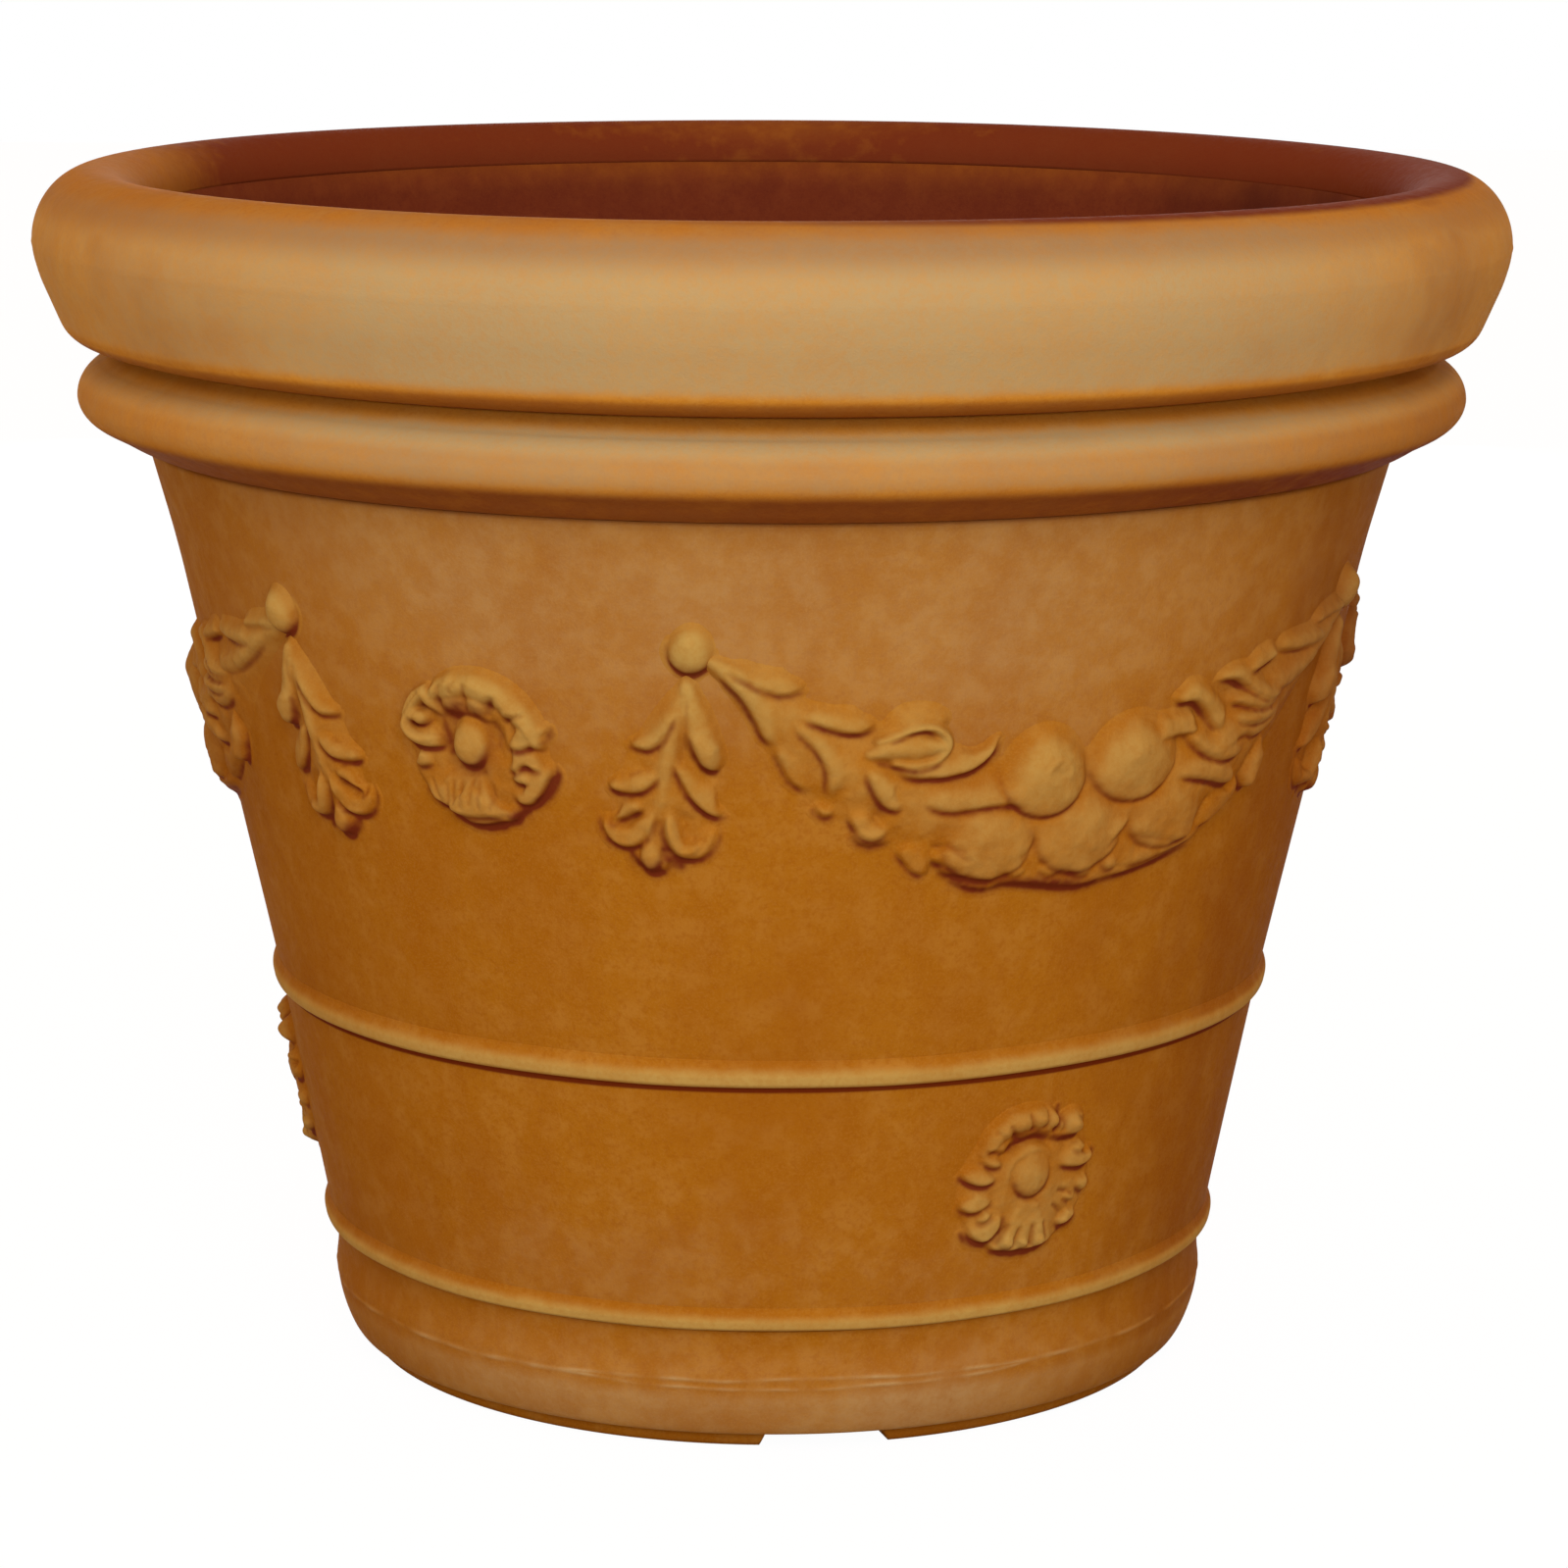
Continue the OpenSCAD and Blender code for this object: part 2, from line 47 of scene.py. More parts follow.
# Camera, in metres: a long lens from the front, a little above the rim
FOCAL_PX = 5009.3
FRAME_PX = 1599
SHIFT_PX = 14.5
SENSOR = 36
CAMERA_AT = (0, -2.2595, 0.7154)
CAMERA_DOWN = 11.387
CAMERA_ROLL = 0.292
scene = bpy.context.scene
camera = bpy.data.objects.new("camera", bpy.data.cameras.new("camera"))
scene.collection.objects.link(camera)
camera.data.sensor_width = SENSOR
camera.data.lens = FOCAL_PX / FRAME_PX * SENSOR
camera.data.shift_x = SHIFT_PX / FRAME_PX
camera.data.clip_start = 0.1
camera.data.clip_end = 50
camera.matrix_world = (Matrix.Translation(CAMERA_AT)
                       @ Matrix.Rotation(math.radians(90 - CAMERA_DOWN), 4, "X")
                       @ Matrix.Rotation(math.radians(CAMERA_ROLL), 4, "Z"))
scene.camera = camera
scene.view_settings.view_transform = "Standard"

# Sizes of the pot
SKIN = 5
RIM_R = 336.9
POT_H = 550
CREST_W = 28
RIM_DOME_H = 32
MOUTH_R = 287
MOUTH_W = 22
MOUTH_H = 20
COLLAR_TOP = 470
WALL_TOP = 425.5
WALL_TOP_R = 286.2
COLLAR_PROUD = 31.2
COLLAR_MID = 22.5
COLLAR_ROUND = 17
CREASE_R = WALL_TOP_R + 11.5
FLARE_Z = 380
FLARE_R = 273.6
BEAD_Z = 173.7
BEAD_R = 228.8
WALL_BOTTOM = 58.1
WALL_BOTTOM_R = 206.5
BAND_BOTTOM = 7.6
FOOT_R = 197.5
PAD_GAP = 7.8
PAD_GAP_ANGLE = 15.5
FLOOR_TOP = 43.6
INNER_FOOT_R = 181.5
SWAG = 31.3

# The wall's line, its bend at the flare eased
WALL_Z = [WALL_BOTTOM, BEAD_Z, FLARE_Z - 8, FLARE_Z + 8, WALL_TOP]
WALL_R = [WALL_BOTTOM_R, BEAD_R, FLARE_R - 1.7, FLARE_R + 2.2, WALL_TOP_R]


def wall_r(z):
    return np.interp(z, WALL_Z, WALL_R)


def smooth(x):
    x = np.clip(x, 0, 1)
    return x * x * (3 - 2 * x)


def wall_paleness_and_light(z):
    """How much paler the wall is at a height: near the top, painted light against the shade under the
    collar and rim, with rubbed wear; also paler near the bottom
    """
    return 0.42 * smooth((z - 260) / 120) + 0.2 * smooth((150 - z) / 60)


def unevenness(a, z):
    """How far the skin wanders from a true cone, as thick mouldings do"""
    t = np.radians(a)
    return (0.22 * np.sin(3 * t + 1.1 + z / 90) + 0.16 * np.sin(5 * t - 0.7 - z / 55)
            + 0.1 * np.sin(9 * t + z / 37) + 0.07 * np.sin(14 * t + 2 - z / 21)) - 0.1


def arc(centre, rx, ry, start, end, steps):
    return [(centre[0] + rx * math.cos(math.radians(t)), centre[1] + ry * math.sin(math.radians(t)))
            for t in np.linspace(start, end, steps + 1)]


def densify(path, gap):
    """The path with more points, none further apart than the gap"""
    out = [path[0]]
    for p, q in zip(path, path[1:]):
        n = max(1, int(math.ceil(math.dist(p, q) / gap)))
        out += [tuple(np.array(p) + (np.array(q) - p) * (i + 1) / n) for i in range(n)]
    return out


def soften(path, rounds):
    """The path with its corners eased, its ends kept"""
    p = np.array(path, float)
    for _ in range(rounds):
        p[1:-1] = (p[:-2] + 2 * p[1:-1] + p[2:]) / 4
    return [tuple(q) for q in p]


def add_piece(name, vertices, faces, material, slot, node, **attributes):
    """A piece from vertices in millimetres and four-sided faces, in place of a CAD node"""
    mesh = bpy.data.meshes.new(name)
    vertices = np.asarray(vertices, np.float32) * MM
    faces = np.asarray(faces, np.int32)
    mesh.vertices.add(len(vertices))
    mesh.vertices.foreach_set("co", vertices.ravel())
    mesh.loops.add(faces.size)
    mesh.loops.foreach_set("vertex_index", faces.ravel())
    mesh.polygons.add(len(faces))
    mesh.polygons.foreach_set("loop_start", np.arange(0, faces.size, 4, dtype=np.int32))
    mesh.update(calc_edges=True)
    mesh.validate()
    mesh.polygons.foreach_set("use_smooth", np.ones(len(mesh.polygons), bool))
    for key, values in attributes.items():
        layer = mesh.attributes.new(key, "FLOAT", "POINT")
        layer.data.foreach_set("value", np.asarray(values, np.float32).ravel())
    piece = bpy.data.objects.new(name, mesh)
    scene.collection.objects.link(piece)
    piece.data.materials.append(material)
    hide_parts(node)
    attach(piece, "root")


def revolve(section, segments, shape=None, start=0, sweep=360):
    """Vertices and faces of a closed section turned round the pot's axis; shape moves its
    points by angle and height"""
    section = np.array(section, float)
    n = len(section)
    whole = sweep == 360
    columns = segments if whole else segments + 1
    a = start + sweep * np.arange(columns) / segments
    A, R = np.meshgrid(a, section[:, 0], indexing="ij")
    Z = np.broadcast_to(section[:, 1], R.shape).copy()
    if shape is not None:
        R, Z = shape(A, R, Z)
    T = np.radians(A)
    vertices = np.stack([R * np.sin(T), -R * np.cos(T), Z], -1).reshape(-1, 3)
    i, j = np.meshgrid(np.arange(segments), np.arange(n), indexing="ij")
    i2, j2 = (i + 1) % columns if whole else i + 1, (j + 1) % n
    faces = np.stack([i * n + j, i2 * n + j, i2 * n + j2, i * n + j2], -1).reshape(-1, 4)
    return vertices, faces


def add_ring(name, section, segments, shape, material, slot, node, high=0, hollow=0):
    """A whole ring. High says where it is paler, partly rubbed wear and partly painted highlight,
    and the next says where it is darker, partly wash and partly painted shade, for each point of the
    section, or for each angle and point."""
    vertices, faces = revolve(section, segments, shape)
    size = (segments, len(section))
    add_piece(name, vertices, faces, material, slot, node,
              high=np.broadcast_to(high, size), hollow=np.broadcast_to(hollow, size))


def spline(points, steps=9):
    """A smooth curve through the points"""
    p = np.array(points, float)
    e = np.vstack([2 * p[0] - p[1], p, 2 * p[-1] - p[-2]])
    t = np.linspace(0, 1, steps, endpoint=False)[:, None]
    out = [0.5 * (2 * e[i + 1] + (e[i + 2] - e[i]) * t
                  + (2 * e[i] - 5 * e[i + 1] + 4 * e[i + 2] - e[i + 3]) * t ** 2
                  + (3 * e[i + 1] - e[i] - 3 * e[i + 2] + e[i + 3]) * t ** 3)
           for i in range(len(p) - 1)]
    return np.vstack(out + [p[-1:]])


def blur(h, radius):
    """Gaussian blur, radius in cells"""
    n = int(3 * radius) + 1
    w = np.exp(-0.5 * (np.arange(-n, n + 1) / radius) ** 2)
    w /= w.sum()
    out = h
    for axis in (0, 1):
        pad = [(n, n) if k == axis else (0, 0) for k in (0, 1)]
        p = np.pad(out, pad, mode="edge")
        size = out.shape[axis]
        out = sum(c * np.take(p, np.arange(k, k + size), axis) for k, c in enumerate(w))
    return out


class Relief:
    """A height field over a patch of the wall, in cells of step mm. Heights are above the
    wall. Points are an angle and a height, widths are millimetres, and the last number is
    how much paler than the wall the raised form is: partly rubbed wear, partly painted highlight."""

    EDGE_DEPTH = 1.2
    BACK_DEPTH = 1.6

    def __init__(self, a0, a1, z0, z1, step, wear_and_highlight=0.03):
        self.step = step
        self.wear_and_highlight = wear_and_highlight
        self.k = math.radians(1) * (wall_r((z0 + z1) / 2) + 5)
        self.middle = (a0 + a1) / 2
        half = (a1 - a0) / 2 * self.k
        self.x = np.linspace(-half, half, int(2 * half / step) + 1)
        self.z = np.linspace(z0, z1, int((z1 - z0) / step) + 1)
        self.X, self.Z = np.meshgrid(self.x, self.z, indexing="ij")
        self.h = np.full(self.X.shape, -0.5)
        self.dark = np.zeros(self.X.shape)

    def place(self, points):
        """Angles and heights as places on the patch"""
        return [((a - self.middle) * self.k, z) for a, z in points]

    def window(self, x0, x1, z0, z1):
        """The cells between two corners"""
        i = np.clip(np.searchsorted(self.x, [x0, x1]), 0, len(self.x))
        j = np.clip(np.searchsorted(self.z, [z0, z1]), 0, len(self.z))
        return slice(i[0], i[1]), slice(j[0], j[1])

    def along(self, line, reach):
        """Cells near a line: how far along it they are, and how far to its left"""
        lo, hi = line.min(0) - reach, line.max(0) + reach
        cut = self.window(lo[0], hi[0], lo[1], hi[1])
        X, Z = self.X[cut], self.Z[cut]
        best = np.full(X.shape, 1e9)
        T, S = np.zeros(X.shape), np.zeros(X.shape)
        spans = np.linalg.norm(np.diff(line, axis=0), axis=1)
        before = np.concatenate([[0], np.cumsum(spans)])
        for i, (p, q) in enumerate(zip(line, line[1:])):
            d = q - p
            u = np.clip(((X - p[0]) * d[0] + (Z - p[1]) * d[1]) / max(d @ d, 1e-9), 0, 1)
            ex, ez = X - p[0] - u * d[0], Z - p[1] - u * d[1]
            dist = ex * ex + ez * ez
            near = dist < best
            best = np.where(near, dist, best)
            T = np.where(near, (before[i] + u * spans[i]) / before[-1], T)
            S = np.where(near, np.sign(d[0] * ez - d[1] * ex), S)
        return cut, T, np.where(S == 0, 1, S) * np.sqrt(best)

    def fold(self, edge, reach, height, crest=0.3, deep=1.4, ramp=1.6):
        """A leaf that steps up at a sharp edge, on the left of the line, then sinks back
        into what lies behind it: reaches and heights are at even steps along the edge"""
        line = spline(self.place(edge))
        cut, t, d = self.along(line, 1.7 * max(reach) + 4)
        r = 1.25 * np.interp(t, np.linspace(0, 1, len(reach)), reach)
        top = np.interp(t, np.linspace(0, 1, len(height)), height)
        tip = smooth(np.minimum(t, 1 - t) / 0.2)
        h = self.h[cut]
        step = np.clip(top - h, 0, None)
        step = np.where(step > 1.4, 0.5 * step + 0.7, step)
        r = np.clip(2.7 * step, r, 1.35 * r)
        w = smooth(d / ramp) * (1 - smooth((d / r - crest) / (1 - crest))) * tip
        self.dark[cut] *= 1 - smooth(step * w / 1.6)
        # Painted shade along the sharp lower edge, with the wash that gathers there
        wide = np.where(d < -0.5, 0.6 + 1.5 * tip, 1)
        shade = min(1, 0.48 * deep) * tip * np.exp(-((d + 0.5) / wide) ** 2)
        self.dark[cut] = np.maximum(self.dark[cut], shade)
        h = h + step * w
        groove = 0.6 * tip * np.exp(-(d / 1.8) ** 2) * smooth(h / 2)
        self.h[cut] = h - np.where(d < 0, groove, 0)

    def ridge(self, points, width, height, blend=1.0):
        """A rounded stem or base along a curve: half widths and heights at even steps"""
        line = spline(self.place(points))
        cut, t, s = self.along(line, max(width) + 2)
        w = np.interp(t, np.linspace(0, 1, len(width)), width)
        top = np.interp(t, np.linspace(0, 1, len(height)), height)
        q = np.clip(np.abs(s) / w, 0, 1)
        h = self.h[cut]
        rise = (top + 0.5) * (1 - q * q) ** blend - 0.5
        self.dark[cut] *= 1 - smooth((rise - h) / 1.2)
        self.h[cut] = np.maximum(h, rise)

    def dome(self, a, z, rx, rz, height, above=1.4, below=0.5, deep=1.6, tilt=0):
        """A fruit or a bud, which rises softly at its top and bulges at its bottom"""
        (x, z), = self.place([(a, z)])
        r = max(rx, rz) + 6
        cut = self.window(x - r, x + r, z - r, z + r)
        X, Z = self.X[cut] - x, self.Z[cut] - z
        c, s = math.cos(math.radians(tilt)), math.sin(math.radians(tilt))
        X, Z = X * c - Z * s, X * s + Z * c
        q = np.hypot(X / rx, Z / rz)
        up = smooth(0.5 + 0.6 * Z / rz / np.maximum(q, 0.2))
        h = self.h[cut]
        rise = h + np.clip(height - h, 0, None) * np.clip(1 - q * q, 0, 1) ** (below + (above - below) * up)
        out = (q - 1) * min(rx, rz)
        groove = 1.2 * np.exp(-(out / 2) ** 2) * (1 - up) * smooth(h / 2)
        self.dark[cut] *= 1 - smooth((rise - h) / 1.2)
        # Painted shade on the fruit's lower half and below its bulge, with wash in the crease
        shade = np.where(out > 0, np.exp(-(out / 1.5) ** 2),
                         0.5 * np.exp(-(out / 4.5) ** 2) + 0.5 * np.exp(-(out / 1.2) ** 2))
        shade *= min(1, 0.6 * deep) * (1 - up) ** 1.5
        self.dark[cut] = np.maximum(self.dark[cut], shade)
        self.h[cut] = np.where(q < 1, np.maximum(h, rise), h - groove)

    def line(self, points, width, depth, dark=0.5):
        """A groove, or a raised line if depth is negative; the groove is darkened by wash and painted shade
        """
        line = spline(self.place(points))
        cut, t, s = self.along(line, 3 * width)
        fade = smooth(np.minimum(t, 1 - t) / 0.15) * np.exp(-(s / width) ** 2)
        self.h[cut] -= depth * fade * smooth((self.h[cut] + 0.5) / 2)
        self.dark[cut] = np.maximum(self.dark[cut], dark * fade)

    def stain_and_shade_lines(self, *curves):
        """Dark lines along curves, wash and painted shade: points, half widths at even steps, and an amount
        """
        for points, width, amount in curves:
            line = spline(self.place(points))
            cut, t, s = self.along(line, 2.5 * max(width))
            w = np.interp(t, np.linspace(0, 1, len(width)), width)
            fade = smooth(np.minimum(t, 1 - t) / 0.2)
            self.dark[cut] = np.maximum(self.dark[cut], amount * fade * np.exp(-(s / w) ** 2))

    def wash_and_shade(self, a, z, rx, rz, amount):
        """Dark wash and painted shade over a patch"""
        (x, z), = self.place([(a, z)])
        q = np.hypot((self.X - x) / rx, (self.Z - z) / rz)
        self.dark = np.maximum(self.dark, amount * np.exp(-q ** 3))

    def swells(self, *spots):
        """Raises or lowers what is there, softly: a place, two radii and a height"""
        for a, z, rx, rz, height in spots:
            (x, z), = self.place([(a, z)])
            r = 2.2 * max(rx, rz)
            cut = self.window(x - r, x + r, z - r, z + r)
            q = np.hypot((self.X[cut] - x) / rx, (self.Z[cut] - z) / rz)
            h = self.h[cut]
            moved = h + height * np.exp(-q * q) * smooth((h + 0.5) / 1.5)
            self.h[cut] = np.maximum(moved, np.minimum(h, 0.9))

    def settle(self, soft, wear=0.3):
        """Softens and roughens the forms as a thick moulding does, then finds how dark each cell is,
        from the dark lines drawn and from painted shade under what stands just above it, and how high it
        lies beside its neighbours"""
        dark = blur(self.dark, 0.6 / self.step)
        raw = np.maximum(blur(self.h, soft / self.step), 0.5 * smooth(dark / 0.35) - 0.1)
        lumps = blur(np.random.default_rng(5).normal(size=raw.shape), 2.4 / self.step)
        lumps *= wear / lumps.std()
        fine = blur(np.random.default_rng(8).normal(size=raw.shape), 0.9 / self.step)
        lumps += fine * wear * 0.35 / fine.std()
        self.h = raw + lumps * smooth(raw / 3)
        surface = np.maximum(self.h, 0)
        near, wide = blur(surface, 1.4 / self.step), blur(surface, 5 / self.step)
        lower = int(round(2.2 / self.step))
        above = np.concatenate([near[:, lower:], np.repeat(near[:, -1:], lower, 1)], 1)
        worn = 0.85 + 0.15 * np.clip(fine / fine.std() + lumps / lumps.std(), -2, 2) / 2
        self.hollow = np.clip(2.7 * dark * worn
                              + 0.6 * np.clip(above - surface - 0.6, 0, 3), 0, 4)
        self.tall = np.clip(surface - 0.7 * wide, 0, 8)
        return self

    def add(self, name, node, material, turn, mirror=None):
        """Adds what stands out of the wall as a piece, closed behind, and turned round the
        pot, or mirrored about an angle first"""
        keep = self.h > -0.02
        for _ in range(3):
            grown = keep.copy()
            grown[1:] |= keep[:-1]
            grown[:-1] |= keep[1:]
            grown[:, 1:] |= keep[:, :-1]
            grown[:, :-1] |= keep[:, 1:]
            keep = grown
        cells = keep[:-1, :-1] & keep[1:, :-1] & keep[1:, 1:] & keep[:-1, 1:]
        nx, nz = self.X.shape
        index = np.arange(nx * nz).reshape(nx, nz)
        quads = np.stack([index[:-1, :-1], index[1:, :-1], index[1:, 1:], index[:-1, 1:]], -1)[cells]
        used = np.unique(quads)
        order = np.full(nx * nz, -1)
        order[used] = np.arange(len(used))
        front = order[quads]
        n = len(used)
        edges = np.concatenate([front[:, [k, (k + 1) % 4]] for k in range(4)])
        key = np.sort(edges, 1)
        code = key[:, 0].astype(np.int64) * n + key[:, 1]
        _, first, count = np.unique(code, return_index=True, return_counts=True)
        rim = edges[first[count == 1]]
        side = np.stack([rim[:, 1], rim[:, 0], rim[:, 0] + n, rim[:, 1] + n], -1)
        faces = np.concatenate([front, front[:, ::-1] + n, side])
        x, z = self.X.ravel()[used], self.Z.ravel()[used]
        h = np.clip(self.h.ravel()[used], -self.EDGE_DEPTH, None)
        edge = np.zeros(n, bool)
        edge[np.unique(rim)] = True
        h = np.where(edge, -self.EDGE_DEPTH, h)
        a = self.middle + x / self.k
        if mirror is not None:
            a = 2 * mirror - a
            faces = faces[:, ::-1]
        a = a + turn
        t = np.radians(a)
        base = wall_r(z) + unevenness(a, z)
        points = [np.stack([(base + up) * np.sin(t), -(base + up) * np.cos(t), z], -1)
                  for up in (h, np.full(n, -self.EDGE_DEPTH - self.BACK_DEPTH))]
        # Paler on the form's higher parts, partly rubbed wear and partly painted highlight
        high = wall_paleness_and_light(z) + self.wear_and_highlight * smooth(h / 3)
        hollow, tall = self.hollow.ravel()[used], self.tall.ravel()[used]
        add_piece(name, np.concatenate(points), faces, material, "raised_relief", node,
                  hollow=np.tile(hollow, 2), tall=np.tile(tall, 2), high=np.tile(high, 2))


def swag_relief():
    """Fruit and leaves hung between the studs at the front and at the right"""
    s = Relief(-9, 72.5, 250, 384, 0.8)
    s.ridge([(-4, 361), (1, 341), (6, 321), (12, 306), (20, 293), (30, 289), (40, 293), (48, 309),
             (54, 326), (61, 346), (69, 364)],
            [5, 18, 24, 28, 34, 37, 37, 33, 25, 15, 6], [4, 4.6, 5.2, 5.8, 6.6, 7, 7, 6.6, 5, 4, 4], 1.8)
    s.ridge([(-5.4, 366), (-4, 362), (-2.4, 357)], [4, 6, 5], [2.4, 4.4, 4.6], 1.2)
    # Leaf tips along the bottom
    s.fold([(14.6, 271), (16.5, 266.5), (19, 262.5), (21.2, 260.8), (23.2, 262.8), (25.3, 262.2),
            (28.2, 260.2), (31.2, 258.2), (33.2, 258.6), (35.3, 260.8), (38, 262), (41, 264.8),
            (44.4, 268.2), (47.6, 270.8), (49.4, 276)],
           [10, 17, 22, 24, 23, 25, 25, 22, 20, 18, 12], [5, 6, 6.5, 6.5, 6.5, 6.5, 6, 5], 0.5, 1, 3)
    for edge in ([(16, 272.5), (17.3, 270), (19, 268.2)], [(19.2, 270), (20.6, 267), (22, 266.5)],
                 [(22.6, 271), (23.8, 267.5), (25.3, 268.5)], [(26.3, 270.5), (27.6, 266.5), (29, 267)],
                 [(29.6, 268.5), (31.3, 264.5), (33, 265.5)], [(33.6, 270), (34.6, 266), (35.8, 267)],
                 [(15, 278), (16.6, 274.5), (18.6, 273)]):
        s.fold(edge, [4, 9, 10, 5], [7, 7.6, 7], 0.3, 1.2)
    s.fold([(35.5, 266.5), (38.5, 266.8), (42, 269.5), (45.5, 272), (48, 276)],
           [4, 8, 9, 9, 4], [6, 7.5, 7.5, 6], 0.4, 1)
    # Body at the right end and the hanging leaf
    s.fold([(46.3, 276), (48.6, 279), (50.3, 283.5), (52, 290), (51.7, 297), (50.4, 300)],
           [8, 13, 15, 15, 12, 6], [6, 7, 7.5, 7, 6.5], 0.45, 1)
    s.line([(46.3, 279), (46.6, 286), (47.2, 293)], 1.3, 1.8)
    s.ridge([(54.7, 312), (54.2, 303), (53.8, 293)], [3, 6.6, 3], [5, 6.8, 5], 0.7)
    s.fold([(52.5, 303), (52.8, 295), (53.6, 290.4), (54.6, 293), (55.3, 301), (55.9, 311)],
           [6, 8, 8, 8, 7, 4], [6, 7.5, 7, 5.5], 0.35, 1.3)
    # The lower fruit
    s.dome(20.9, 284.5, 21.5, 17.5, 9.6, 1.7, 0.5, 0.9)
    s.dome(30.6, 284, 22, 17, 9.8, 1.7, 0.5, 0.9)
    s.dome(41, 287.5, 22.5, 14.5, 9.8, 1.7, 0.5, 0.9)
    s.fold([(36, 281.5), (38.3, 280), (41, 277.2), (43.6, 274.6), (45, 277.5), (45.6, 284)],
           [5, 9, 12, 12, 10, 4], [9, 9.6, 9.4, 8], 0.35, 0.9)
    s.fold([(33.2, 275), (34.3, 280), (35.4, 284.5), (36.2, 289.5)], [3, 7, 7, 3], [8, 9.4, 9.4],
           0.1, 0.9)
    for points in ([(16.6, 286), (17.6, 281), (19.2, 276)], [(24, 275), (25.3, 279.5), (26, 285)],
                   [(15, 283.6), (17, 283), (19, 280.6)]):
        s.line(points, 1.1, 1.1)
    # Stems and leaves at the left
    s.fold([(0, 329), (0.9, 320.5), (1.7, 313.8), (3.6, 307.5)], [4, 9, 10, 4], [4, 5, 5, 3.6])
    s.fold([(-5, 361), (-3.9, 357), (-2.5, 349.5), (-1.5, 341), (-0.7, 333), (0.6, 327.5)],
           [3, 7, 10, 11, 9, 3], [4, 5.6, 6.4, 6.4, 5], 0.3, 1.6)
    s.fold([(3.8, 304), (4.3, 299.6), (5.1, 297.4), (6.3, 299.5)], [2, 6, 7, 3], [4, 5, 4])
    s.fold([(1.5, 340), (2.7, 334.5), (4.2, 327), (5.1, 318), (5.2, 310), (5.6, 304)],
           [3, 6, 8, 8, 7, 3], [5, 6.6, 7.6, 7.6, 5.5], 0.3, 1.6)
    s.fold([(11.6, 283), (12.5, 278), (13.7, 271.7), (15.6, 268.8)], [5, 12, 14, 6], [5, 6, 6, 5])
    s.fold([(7.2, 292), (8, 286.6), (9.2, 283.8), (10.4, 284.8), (11.8, 285.6)],
           [4, 8, 9, 8, 4], [5, 5.6, 5.6, 5], 0.4, 1)
    s.fold([(7, 300), (7.7, 293.5), (8.6, 288.6), (9.6, 286.9), (10.5, 288.6), (11.5, 292)],
           [4, 10, 13, 13, 12, 5], [6, 7.6, 8, 7.6, 6.4], 0.35, 1.4)
    s.swells((9.8, 298.5, 3.4, 4.4, -3))
    s.fold([(8.4, 320), (9.1, 312.5), (9.8, 306), (10.7, 301.8), (11.8, 300.6), (12.6, 304)],
           [3, 7, 10, 11, 9, 3], [7, 8.6, 9.2, 8.4, 7], 0.35, 1.8)
    s.fold([(13.4, 305), (14.6, 302), (16.2, 299.2), (18.4, 299), (21, 300.4), (24.8, 299.4)],
           [5, 11, 12, 12, 10, 5], [7, 8.6, 9, 9, 8.6], 0.3, 1.8)
    s.fold([(10.4, 318.5), (12.8, 314.6), (15.6, 313.8), (17.8, 315), (19.3, 317.4), (20.6, 322),
            (21.4, 328), (22.4, 333)],
           [4, 9, 12, 12, 9, 6, 4, 2], [7, 9.4, 10, 9.6, 8.6, 7], 0.35, 1.8)
    s.fold([(9.2, 330), (11.2, 333), (13, 337.4), (14.8, 338), (16.4, 334)],
           [5, 9, 11, 9, 4], [5, 6, 6, 5], 0.1, 0)
    s.ridge([(9, 325.5), (11, 327.5), (13.4, 328), (15.6, 328)], [4, 8, 10, 6], [6.4, 7.4, 7.6, 7], 1.2)
    s.ridge([(9.6, 331), (11.4, 333.8), (13, 336.6), (14.6, 336.6), (15.9, 332.6), (16.2, 327.6),
             (15.2, 322.6), (13.2, 320.6), (11.2, 321.6)], [2, 2.6, 2.6, 2.6, 3, 3, 2.8, 2.6, 2],
            [6, 6.8, 7.4, 7.6, 7.6, 7.6, 7.8, 7.8, 7.2], 1)
    # Painted shade inside the curled leaf's upper arch and below its lower rim
    s.stain_and_shade_lines(([(10.2, 329.6), (11.6, 331.8), (13, 334.4), (14.2, 334.6), (15.2, 331.6)],
              [0.8, 1.1, 0.9], 0.95),
             ([(8.8, 322.8), (11, 319.8), (13.2, 317.8), (15, 319.4), (16.4, 323.4)], [0.8, 1.5, 1.2], 1))
    s.fold([(2.2, 342), (4, 339), (5.6, 336), (7.2, 334.4), (8.6, 334.8), (10.2, 339)],
           [3, 8, 11, 12, 11, 4], [5, 6.8, 7.4, 6.6, 4.4], 0.25, 1.8)
    s.fold([(-4.4, 363), (-2.2, 358), (-0.4, 353.2), (0.9, 351.4), (2.2, 352), (3.8, 356)],
           [3, 7, 10, 12, 10, 4], [4.4, 5.6, 6.4, 5.6, 4], 0.25, 1.6)
    s.line([(-3.9, 361.6), (-2.6, 359), (-1.4, 356)], 0.8, 1)
